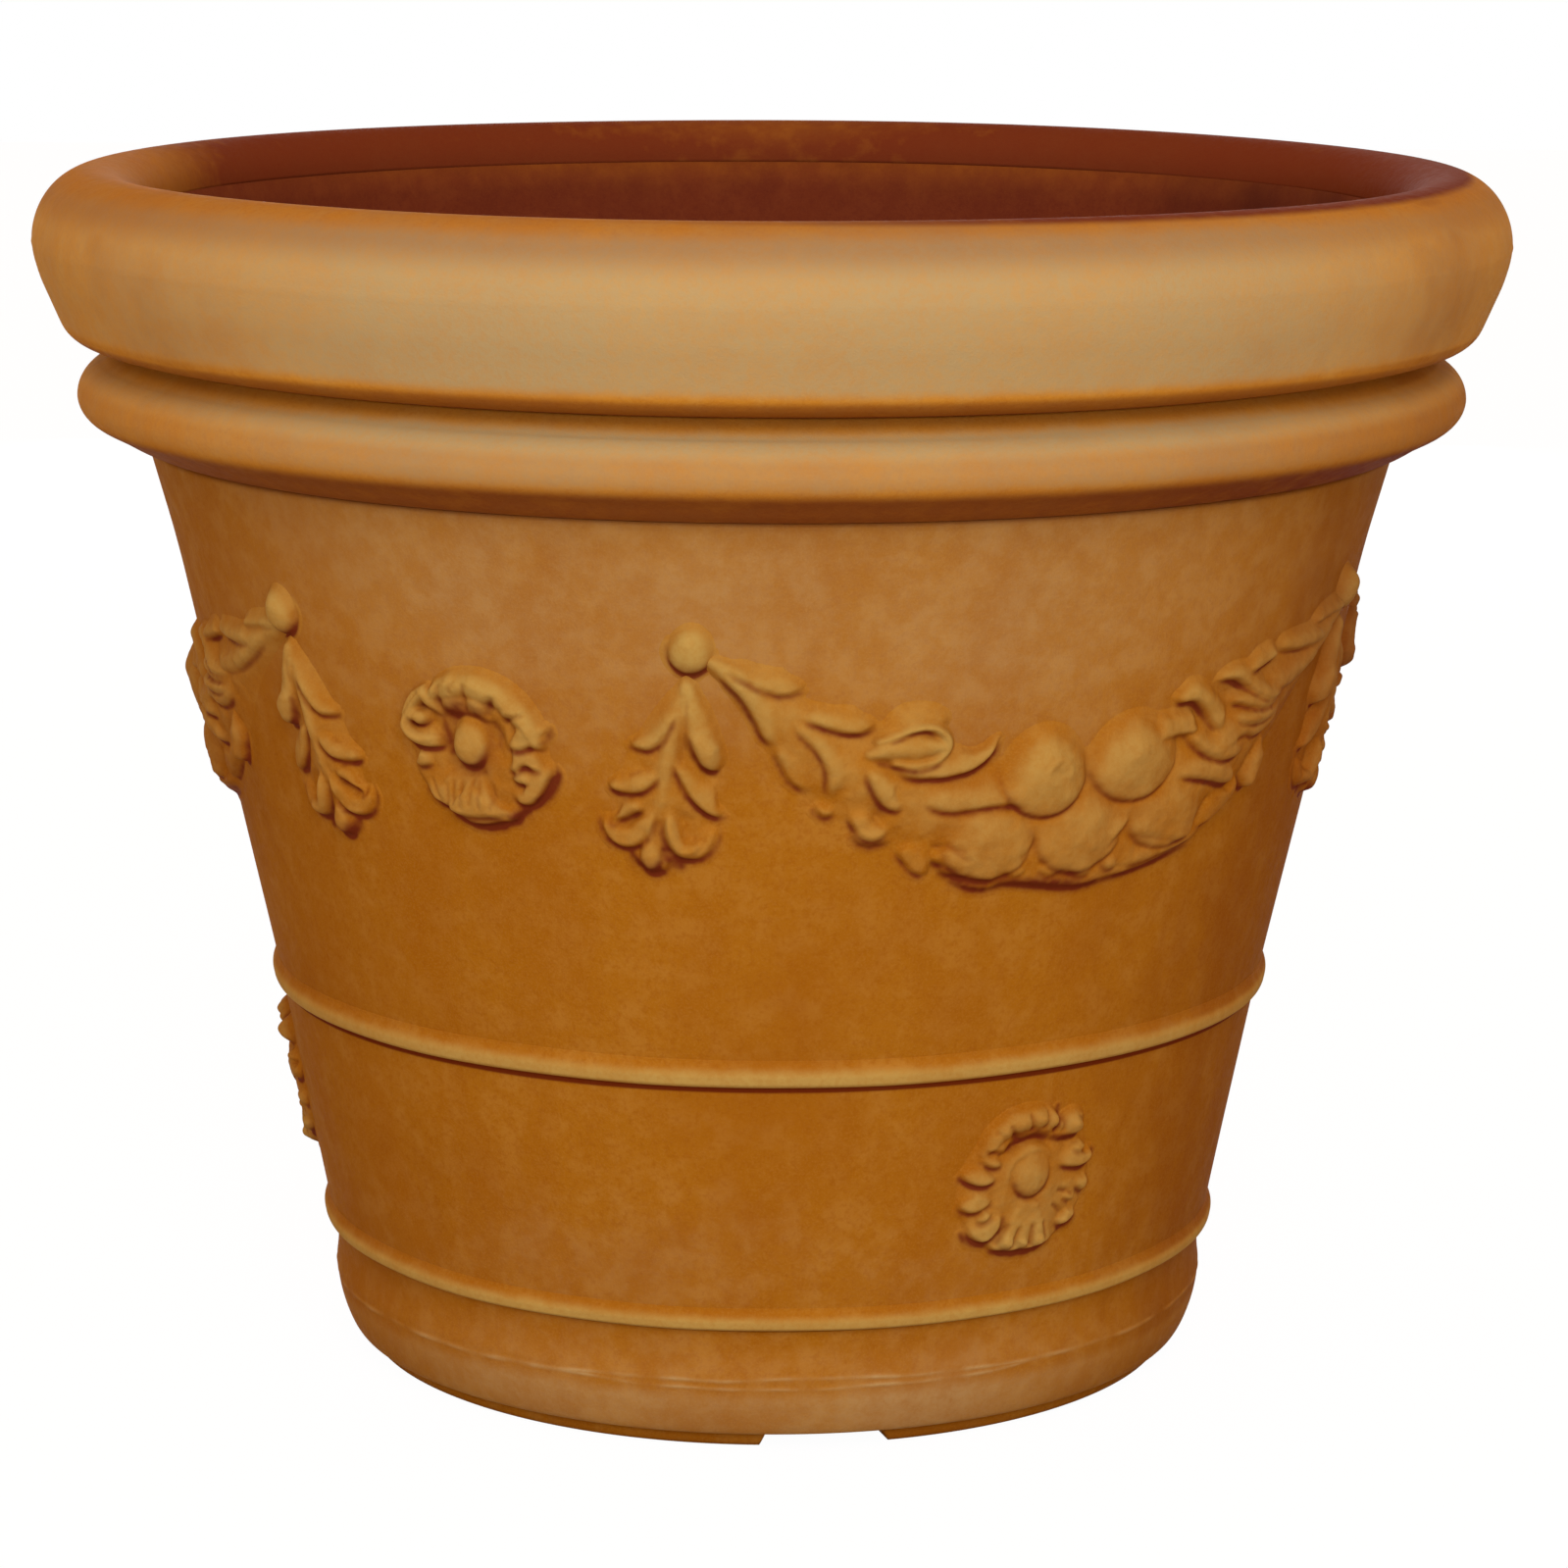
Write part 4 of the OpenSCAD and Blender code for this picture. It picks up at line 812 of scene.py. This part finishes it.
def clay(name, base, dusty, dark, pale_wear_and_highlight, wash_and_shade, rough=0.6, sides=0.5):
    """Weathered clay finish on moulded plastic: mottled, paler on what stands out, partly rubbed wear
    and partly painted highlight, and dark red-brown in what lies deep, partly wash and partly painted
    shade, with painted shade on the flanks where the light falls off. Sides is the share of the paleness
    that is left where the pot turns away."""
    material = bpy.data.materials.new(name)
    g = Graph(material)
    shader = g.tree.nodes["Principled BSDF"]
    x, y = g.add("SeparateXYZ", (0, g.add("TexCoord")["Object"]))[:2]
    broad = g.noise(9, 3, 0.6, seed=3)
    streaks = g.noise(24, 3, 0.6, (1, 1, 0.5), 7)
    patches = g.noise(75, 4, 0.6, seed=1)
    flecks = g.noise(380, 2, 0.6, seed=5)
    grain = g.noise(1000, 2, 0.6, seed=2)
    colour = g.mix(g.spread(patches, 0.42, 0.66, 0, 0.55), base, dusty)
    colour = g.mix(g.spread(streaks, 0.4, 0.7, 0, 0.45), colour, dark)
    colour = g.mix(g.spread(flecks, 0.45, 0.7, 0, 0.45), colour, dark)
    colour = g.mix(g.spread(grain, 0.45, 0.7, 0, 0.35), colour, dusty)
    colour = g.mix(g.spread(broad, 0.5, 0.72, 0, 0.4), colour, dark)
    # Paler on what stands out, partly rubbed wear and partly painted highlight, less on the pot's sides
    # where the light falls off
    high = g.math("ADD", g.attribute("high"), g.spread(g.attribute("tall"), 0.3, 3.4, 0, 0.36))
    high = g.math("ADD", high, g.spread(broad, 0.35, 0.7, -0.06, 0.06))
    high = g.math("ADD", high, g.spread(patches, 0.3, 0.7, -0.06, 0.06))
    square = g.math("ADD", g.math("MULTIPLY", x, x), g.math("MULTIPLY", y, y))
    right = g.math("DIVIDE", x, g.math("POWER", square, 0.5))
    aside = g.math("ABSOLUTE", right)
    high = g.math("MULTIPLY", high, g.spread(aside, 0.45, 1, 1, sides))
    high = g.math("MULTIPLY", g.spread(high, 0.05, 1.0), g.spread(flecks, 0.35, 0.6, 0.8, 1.0))
    colour = g.mix(high, colour, pale_wear_and_highlight)
    # Darker: painted shade on the flanks, where the light falls off; smudges, stronger there; wash and
    # painted shade in the hollows and creases
    right = g.math("ADD", right, g.spread(streaks, 0.3, 0.7, -0.06, 0.06))
    flank = g.math("MAXIMUM", g.spread(right, 0.55, 1, 0, 0.36), g.spread(right, -0.55, -1, 0, 0.16))
    flank = g.math("MULTIPLY", flank, g.spread(g.attribute("high"), 0.3, 0.6, 1, 0.15))
    smudges_and_side_shade = g.spread(g.noise(6.5, 4, 0.6, seed=12), 0.52, 0.74, 0, 0.34)
    smudges_and_side_shade = g.math("MULTIPLY", smudges_and_side_shade, g.spread(aside, 0.5, 0.95, 0.24, 0.85))
    flank = g.math("ADD", flank, smudges_and_side_shade)
    # Painted shade in creases, from ambient occlusion
    open_air = g.add("AmbientOcclusion", ("Distance", 0.009), samples=8)["AO"]
    shut = g.spread(open_air, 0.25, 0.85, 1, 0)
    deep = g.math("ADD", g.spread(g.attribute("hollow"), 0.1, 3, 0, 1), g.math("MULTIPLY", shut, 0.32))
    deep = g.math("MULTIPLY", deep, g.spread(patches, 0.25, 0.6, 0.92, 1.06))
    deep = g.math("MAXIMUM", deep, flank)
    deep = g.math("MINIMUM", deep, 0.92)
    colour = g.mix(deep, colour, wash_and_shade)
    rougher = g.spread(g.noise(240, 2, seed=4), 0.3, 0.7, rough - 0.05, rough + 0.07)
    relief = g.bump(g.noise(120, 4, 0.6, seed=6), 0.0006, 0.5)
    g.put(shader, ("Base Color", colour), ("Roughness", rougher), ("Specular IOR Level", SHEEN),
          ("Normal", g.bump(grain, 0.00025, 0.6, relief)))
    return material


# Each finish carries painted highlight and painted shade besides its own colours
outer = clay("clay_wear_and_painted_light", srgb(163, 105, 22), srgb(173, 121, 48), srgb(150, 88, 15),
             srgb(184, 156, 108), srgb(98, 30, 12))
raised = clay("raised_clay_wear_and_painted_light", srgb(165, 106, 24), srgb(175, 123, 50), srgb(152, 89, 17),
              srgb(183, 153, 84), srgb(104, 36, 22), sides=0.85)
pale = clay("rim_clay_wear_and_painted_light", srgb(203, 141, 48), srgb(206, 152, 66), srgb(189, 124, 40),
            srgb(177, 156, 113), srgb(104, 34, 26))
inside = clay("clay_inside", srgb(112, 51, 30), srgb(121, 59, 34), srgb(100, 43, 29),
              srgb(160, 96, 28), srgb(56, 26, 24), 0.65)

# Rolled rim
RIM_SEGMENTS = 720
UNDER_ROUND = 13.5
rim_dome = (RIM_R - CREST_W, POT_H - RIM_DOME_H)
rim_path = ([(CREASE_R - SKIN, COLLAR_TOP), (CREASE_R, COLLAR_TOP), (CREASE_R + 5, COLLAR_TOP + 0.6)]
            + arc((RIM_R - 24.5, COLLAR_TOP + 17), UNDER_ROUND, UNDER_ROUND, -80, -20, 10)
            + [(RIM_R - 3.5, rim_dome[1] - 16), (RIM_R - 0.7, rim_dome[1] - 6)]
            + arc(rim_dome, CREST_W, RIM_DOME_H, 0, 90, 30)
            + arc((rim_dome[0], POT_H - MOUTH_H), MOUTH_W, MOUTH_H, 93, 180, 20))
rim_path = soften(densify(rim_path, 2.2), 3) + [(MOUTH_R + SKIN, POT_H - MOUTH_H),
                                               (CREASE_R - SKIN, COLLAR_TOP + SKIN)]


def rim_shape(A, R, Z):
    """A slight sway, and a fine seam where the roll is widest"""
    t = np.radians(A)
    seam = 0.3 * np.exp(-((Z - rim_dome[1] - 0.5 * np.sin(2 * t + 1)) / 0.9) ** 2) * (R > 330)
    sway = 0.25 * np.sin(3 * t + 0.4) + 0.15 * np.sin(7 * t + 2)
    lift = 0.2 * np.sin(2 * t + 1.3) + 0.15 * np.sin(5 * t)
    out = R + sway * smooth((R - 300) / 20) - 0.4 + seam
    return np.minimum(out, RIM_R), Z + (lift - 0.35) * smooth((Z - 490) / 40)


# Pale on the roll, partly rubbed wear and partly painted highlight, less on its top; darker on the top of
# the roll, browner over the crest into the mouth, more so at the back, with painted shade to the right;
# painted shade underneath
r, z = np.array(rim_path).T
wear_and_highlight = smooth((r - 300) / 14) * smooth((z - 477) / 8)
wear_and_highlight *= 1 - 0.6 * smooth((z - 541) / 7)
brown = (1.9 * smooth((326 - r) / 13) * smooth((z - 500) / 20)
         * (1 + 0.12 * smooth((548 - z) / 14) * (r < 305)))
slope = 1.25 * smooth((z - 521) / 20) * (r > 310)
under = 1.6 * smooth((481.5 - z) / 5)
turn = 2 * np.pi * np.arange(RIM_SEGMENTS) / RIM_SEGMENTS
to_right, to_back = np.sin(turn), -np.cos(turn)
side = 0.7 + 0.7 * np.maximum(smooth((to_right + 0.3) / 0.9), smooth((to_back - 0.1) / 0.5)
                              * (0.55 + 0.45 * np.minimum(1, 1.6 * np.abs(to_right))))
slope = np.outer(1 - 0.1 * smooth((to_right - 0.2) / 0.7), slope)
add_ring("rim", rim_path, RIM_SEGMENTS, rim_shape, pale, "outer_skin", "rolled_rim",
         wear_and_highlight * 0.8, np.maximum(np.outer(side, brown), slope) + under)

# Collar
COLLAR_SEGMENTS = 640
collar_middle = (WALL_TOP_R + COLLAR_PROUD - COLLAR_ROUND, WALL_TOP + COLLAR_MID)
collar_path = ([(WALL_TOP_R - SKIN, WALL_TOP), (WALL_TOP_R + 0.2, WALL_TOP),
                (WALL_TOP_R + 4, WALL_TOP + 1.2), (WALL_TOP_R + 10, WALL_TOP + 3.8),
                (collar_middle[0] + 2.5, WALL_TOP + 8)]
               + arc(collar_middle, COLLAR_ROUND, COLLAR_MID - 9, -50, 0, 8)
               + arc(collar_middle, COLLAR_ROUND, 16, 0, 70, 9)
               + [(CREASE_R, COLLAR_TOP - 0.6), (CREASE_R, COLLAR_TOP)])
collar_path = soften(densify(collar_path, 2), 2) + [(CREASE_R - SKIN, COLLAR_TOP),
                                                   (WALL_TOP_R - SKIN, WALL_TOP + SKIN)]


def collar_shape(A, R, Z):
    t = np.radians(A)
    out = smooth((R - 290) / 15)
    return (R + (0.3 * np.sin(4 * t + 1) + 0.2 * np.sin(9 * t)) * out,
            Z + 0.25 * np.sin(3 * t + 2) * out * (Z < 462))


# Palest near its top, painted light where the rim shades it, with rubbed wear; darker below its middle,
# wash and painted shade, and painted shade to the right
r, z = np.array(collar_path).T
top = smooth((z - 452) / 8)
wear_and_highlight = smooth((r - 299) / 10) * smooth((z - 438) / 7) * (0.58 + 0.3 * top)
under = 1.1 * smooth((442.5 - z) / 6) + 0.88 * (1 - top)
to_right = np.sin(2 * np.pi * np.arange(COLLAR_SEGMENTS) / COLLAR_SEGMENTS)
side = 0.45 * smooth((to_right - 0.3) / 0.7)
add_ring("collar_moulding", collar_path, COLLAR_SEGMENTS, collar_shape, pale, "outer_skin", "collar",
         wear_and_highlight, np.add.outer(side, under))

# Wall, with more points where the middle bead's lower edge crosses it
WALL_SEGMENTS = 640
heights = np.unique(np.concatenate([np.linspace(WALL_BOTTOM, WALL_TOP, 124),
                                    np.linspace(BEAD_Z - 5, BEAD_Z + 1, 11)]))
wall_path = soften([(wall_r(z), z) for z in heights], 3)
wall_path += [(wall_r(z) - SKIN, z) for z in heights[::-4]]


def wall_shape(A, R, Z):
    ends = smooth((Z - WALL_BOTTOM) / 4) * smooth((WALL_TOP - Z) / 4)
    outside = R > wall_r(Z) - 2
    return R + np.where(outside, unevenness(A, Z) * ends, 0), Z


# Paler towards its top and bottom, painted light near the top with rubbed wear; painted shade just under
# the middle bead and under the collar
z = np.array(wall_path)[:, 1]
shade = 3 * np.where(z > BEAD_Z - 1.3, 1, np.exp(-((z - BEAD_Z + 1.3) / 1.1) ** 2)) * (z < BEAD_Z + 2)
add_ring("wall", wall_path, WALL_SEGMENTS, wall_shape, outer, "outer_skin", "outer_wall",
         wall_paleness_and_light(z), shade + 1.1 * smooth((z - 419) / 6))

# Beads
BEAD_SEGMENTS = 720
BEAD_SUNK = 1.5


def bead(name, z0, h, proud, node):
    """Steps out of the wall with a sharp lower edge and dies into the wall above"""
    front = []
    for s in np.linspace(0, 1, 26):
        up = z0 + h * s
        rise = (s / 0.16) ** 0.5 if s < 0.16 else 1 if s < 0.38 else 1 - smooth((s - 0.38) / 0.62)
        front.append((wall_r(up) + 0.12 + proud * rise, up))
    section = np.array(soften(front, 1) + [(wall_r(z0 + h) - BEAD_SUNK, z0 + h + 0.2),
                                           (wall_r(z0) - BEAD_SUNK, z0)])

    def shape(A, R, Z):
        t = np.radians(A)
        wave = 0.15 * np.sin(6 * t + z0) + 0.12 * np.sin(13 * t + 1)
        return R + unevenness(A, Z), Z + wave

    # Paler on its upward face, partly rubbed wear and partly painted highlight; painted shade along the
    # sharp lower edge
    s = (section[:, 1] - z0) / h
    wear_and_highlight = smooth(s / 0.12) * (1 - smooth((s - 0.35) / 0.6))
    add_ring(name, section, BEAD_SEGMENTS, shape, raised, "raised_relief", node,
             0.78 * wear_and_highlight, 3 * smooth(1 - s / 0.09))


bead("middle_bead_moulding", BEAD_Z, 13, 3.4, "middle_bead")
bead("lower_bead_moulding", WALL_BOTTOM + 0.1, 11, 3.2, "lower_bead")

# Foot band with its double mould seam: a full round below, then a shallow hollow
FOOT_SEGMENTS = 900
BAND_PROUD = 7.6
BAND_SHELF = 12.5
SEAM_Z = 33
crest_z = BAND_BOTTOM + 50.5 * 0.56
band_path = [(FOOT_R - BAND_SHELF, BAND_BOTTOM), (FOOT_R - 1.2, BAND_BOTTOM)]
band_path += [(FOOT_R + BAND_PROUD * math.sin(math.radians(90 * t)) ** 0.8,
               BAND_BOTTOM + 0.6 + (crest_z - BAND_BOTTOM) * t) for t in np.linspace(0, 1, 14)]
band_path += [(FOOT_R + BAND_PROUD - 1.2 * math.sin(math.radians(150 * t)) + 1.4 * t * t,
               crest_z + 0.6 + (WALL_BOTTOM - crest_z - 1.2) * t) for t in np.linspace(0.1, 1, 10)]
band_path += [(WALL_BOTTOM_R, WALL_BOTTOM)]
band_path = soften(densify(band_path, 0.9), 2) + [(WALL_BOTTOM_R - SKIN, WALL_BOTTOM),
                                                 (FOOT_R - BAND_SHELF, BAND_BOTTOM + SKIN)]


def seam_height(A, Z):
    """Two thin ragged lines round the band, which meet in places"""
    t = np.radians(A)
    middle = SEAM_Z + 0.8 * np.sin(t + 0.5) + 0.35 * np.sin(11 * t) + 0.2 * np.sin(31 * t + 1)
    apart = np.clip(0.6 + 1.7 * np.cos(3 * t - 0.2) + 0.3 * np.sin(17 * t), 0.3, 3)
    worn = 0.6 + 0.4 * np.sin(23 * t + 2) * np.sin(5 * t) + 0.25 * np.sin(57 * t)
    upper = np.exp(-((Z - middle - apart) / 0.8) ** 2)
    lower = np.exp(-((Z - middle + apart) / 0.8) ** 2)
    return np.clip(worn, 0.15, 1.2) * np.maximum(upper, lower)


def band_shape(A, R, Z):
    seam = seam_height(A, Z)
    out = smooth((R - FOOT_R + 1) / 2)
    return R + (0.45 * seam + unevenness(A, Z) * 0.7) * out, Z


A, Z = np.meshgrid(360 * np.arange(FOOT_SEGMENTS) / FOOT_SEGMENTS, np.array(band_path)[:, 1],
                   indexing="ij")
# Paler along the seam lines and the band's crest, partly rubbed wear and partly painted highlight, and
# paler low down
wear_and_highlight = (0.42 * seam_height(A, Z) + 0.14 + 0.14 * np.exp(-((Z - crest_z) / 14) ** 2)
       + 0.3 * smooth((32 - Z) / 8))
add_ring("foot", band_path, FOOT_SEGMENTS, band_shape, outer, "outer_skin", "foot_band", wear_and_highlight)

# Plinth: three stretches with gaps between them
PAD_SEGMENTS = 220
PAD_W = 22
PAD_LEAN = 1.1
pad_r = FOOT_R - 7
pad_path = soften(densify([(pad_r - PAD_W, 0), (pad_r - 2, 0), (pad_r - 0.4, 1.2), (pad_r + 0.4, 4),
                           (pad_r, BAND_BOTTOM)], 1), 2) + [(pad_r - PAD_W, BAND_BOTTOM)]
n = len(pad_path)
columns = np.arange(PAD_SEGMENTS + 1)
for k in range(COPIES):
    start = PAD_GAP + PAD_GAP_ANGLE / 2 + TURN * k
    sweep = TURN - PAD_GAP_ANGLE
    vertices, faces = revolve(pad_path, PAD_SEGMENTS, None, start, sweep)
    # Both ends draw back towards the ground
    end = np.repeat(np.minimum(columns, columns[::-1]) * sweep / PAD_SEGMENTS, n)
    lean = np.radians(PAD_LEAN) * (1 - vertices[:, 2] / BAND_BOTTOM) * smooth(1 - end / 4)
    lean = np.where(np.repeat(columns < len(columns) / 2, n), lean, -lean)
    x, y = vertices[:, 0].copy(), vertices[:, 1].copy()
    vertices[:, 0] = x * np.cos(lean) - y * np.sin(lean)
    vertices[:, 1] = x * np.sin(lean) + y * np.cos(lean)
    caps = []
    for base, flip in ((0, 1), (PAD_SEGMENTS * n, -1)):
        for q in range((n - 2) // 2):
            quad = [base + q, base + q + 1, base + n - 2 - q, base + n - 1 - q]
            caps.append(quad[::flip])
    faces = np.concatenate([faces, np.array(caps)])
    add_piece("plinth_%d" % (k + 1), vertices, faces, outer, "outer_skin", "plinth_pad_%d" % (k + 1))

# Relief, the same three times
swag_form, drop_form, stud_form = swag_relief(), drop_relief(), stud_relief()
upper_form, lower_form = upper_rosette_relief(), lower_rosette_relief()
for k in range(COPIES):
    turned = TURN * k
    n = k + 1
    for form, name, node in ((swag_form, "fruit_swag_%d", "swag_%d"),
                             (upper_form, "upper_flower_%d", "upper_rosette_%d"),
                             (lower_form, "lower_flower_%d", "lower_rosette_%d")):
        form.add(name % n, node % n, raised, turned)
    for form, name, node in ((drop_form, "leaf_drop", "drop"), (stud_form, "knob", "stud")):
        for side, mirror in (("left", None), ("right", SWAG)):
            form.add("%s_%s_%d" % (name, side, n), "%s_%s_%d" % (node, side, n), raised, turned, mirror)

# Liner, which holds the soil
LINER_SEGMENTS = 480
liner = densify([(INNER_FOOT_R, FLOOR_TOP), (MOUTH_R, POT_H - MOUTH_H)], 12)
liner += [(r + SKIN, z) for r, z in liner[::-4]]
liner = liner[::-1]


def liner_shape(A, R, Z):
    ends = smooth((Z - FLOOR_TOP) / 20) * smooth((POT_H - MOUTH_H - Z) / 10)
    return R + 1.6 * unevenness(A, Z) * ends - 0.45 * smooth((Z - 490) / 30), Z


z = np.array(liner)[:, 1]
add_ring("liner", liner, LINER_SEGMENTS, liner_shape, inside, "inner_skin", "inner_wall",
         0.45 * smooth((z - 505) / 28))

# The inner floor, the base plate and the drains keep their CAD shapes
for name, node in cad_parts.items():
    if node.hide_render:
        continue
    node.data.materials.clear()
    node.data.materials.append(inside if name.startswith(("inner", "drain")) else outer)

# Ground under the pot, which glows to the camera
FLOOR_REACH = 8
GLOW = 1.07
GLOW_SHARE = 0.91
floor_mesh = bpy.data.meshes.new("floor")
corners = [(-FLOOR_REACH, -FLOOR_REACH, 0), (FLOOR_REACH, -FLOOR_REACH, 0),
           (FLOOR_REACH, FLOOR_REACH, 0), (-FLOOR_REACH, FLOOR_REACH, 0)]
floor_mesh.from_pydata(corners, [], [(0, 1, 2, 3)])
floor = bpy.data.objects.new("floor", floor_mesh)
scene.collection.objects.link(floor)
ground = bpy.data.materials.new("ground")
g = Graph(ground)
g.tree.nodes.clear()
lit = g.add("BsdfDiffuse", ("Color", (0.5, 0.48, 0.46, 1)))[0]
g.finish("OutputMaterial", lit, g.add("Emission", ("Strength", GLOW))[0], GLOW_SHARE)
floor.data.materials.append(ground)

# Backdrop, white to the camera, and warm light from all round
AIR = 0.66
world = bpy.data.worlds.new("studio")
scene.world = world
g = Graph(world)
g.tree.nodes.clear()
air = g.add("Background", ("Color", (1, 0.64, 0.36, 1)), ("Strength", AIR))[0]
g.finish("OutputWorld", air, g.add("Background", ("Color", (1, 1, 1, 1)))[0], 1)

# Lamps, in metres
LAMP_FAR = 3.2
LAMP_AIM = (0, 0, 0.3)


def lamp(name, azimuth, elevation, size, power):
    """Square soft box that faces the middle of the pot"""
    data = bpy.data.lights.new(name, "AREA")
    data.shape = "SQUARE"
    data.size = size
    data.energy = power
    light = bpy.data.objects.new(name, data)
    scene.collection.objects.link(light)
    a, e = math.radians(azimuth), math.radians(elevation)
    away = Matrix.Rotation(a, 4, "Z") @ Matrix.Rotation(math.radians(90) - e, 4, "X")
    light.matrix_world = Matrix.Translation(LAMP_AIM) @ away @ Matrix.Translation((0, 0, LAMP_FAR))


lamp("key", 4, 28, 1.5, 43)
lamp("low", 4, 3, 1.5, 19.5)
lamp("fill", -75, 16, 1.6, 8)
lamp("back", 180, 5, 1.6, 22)
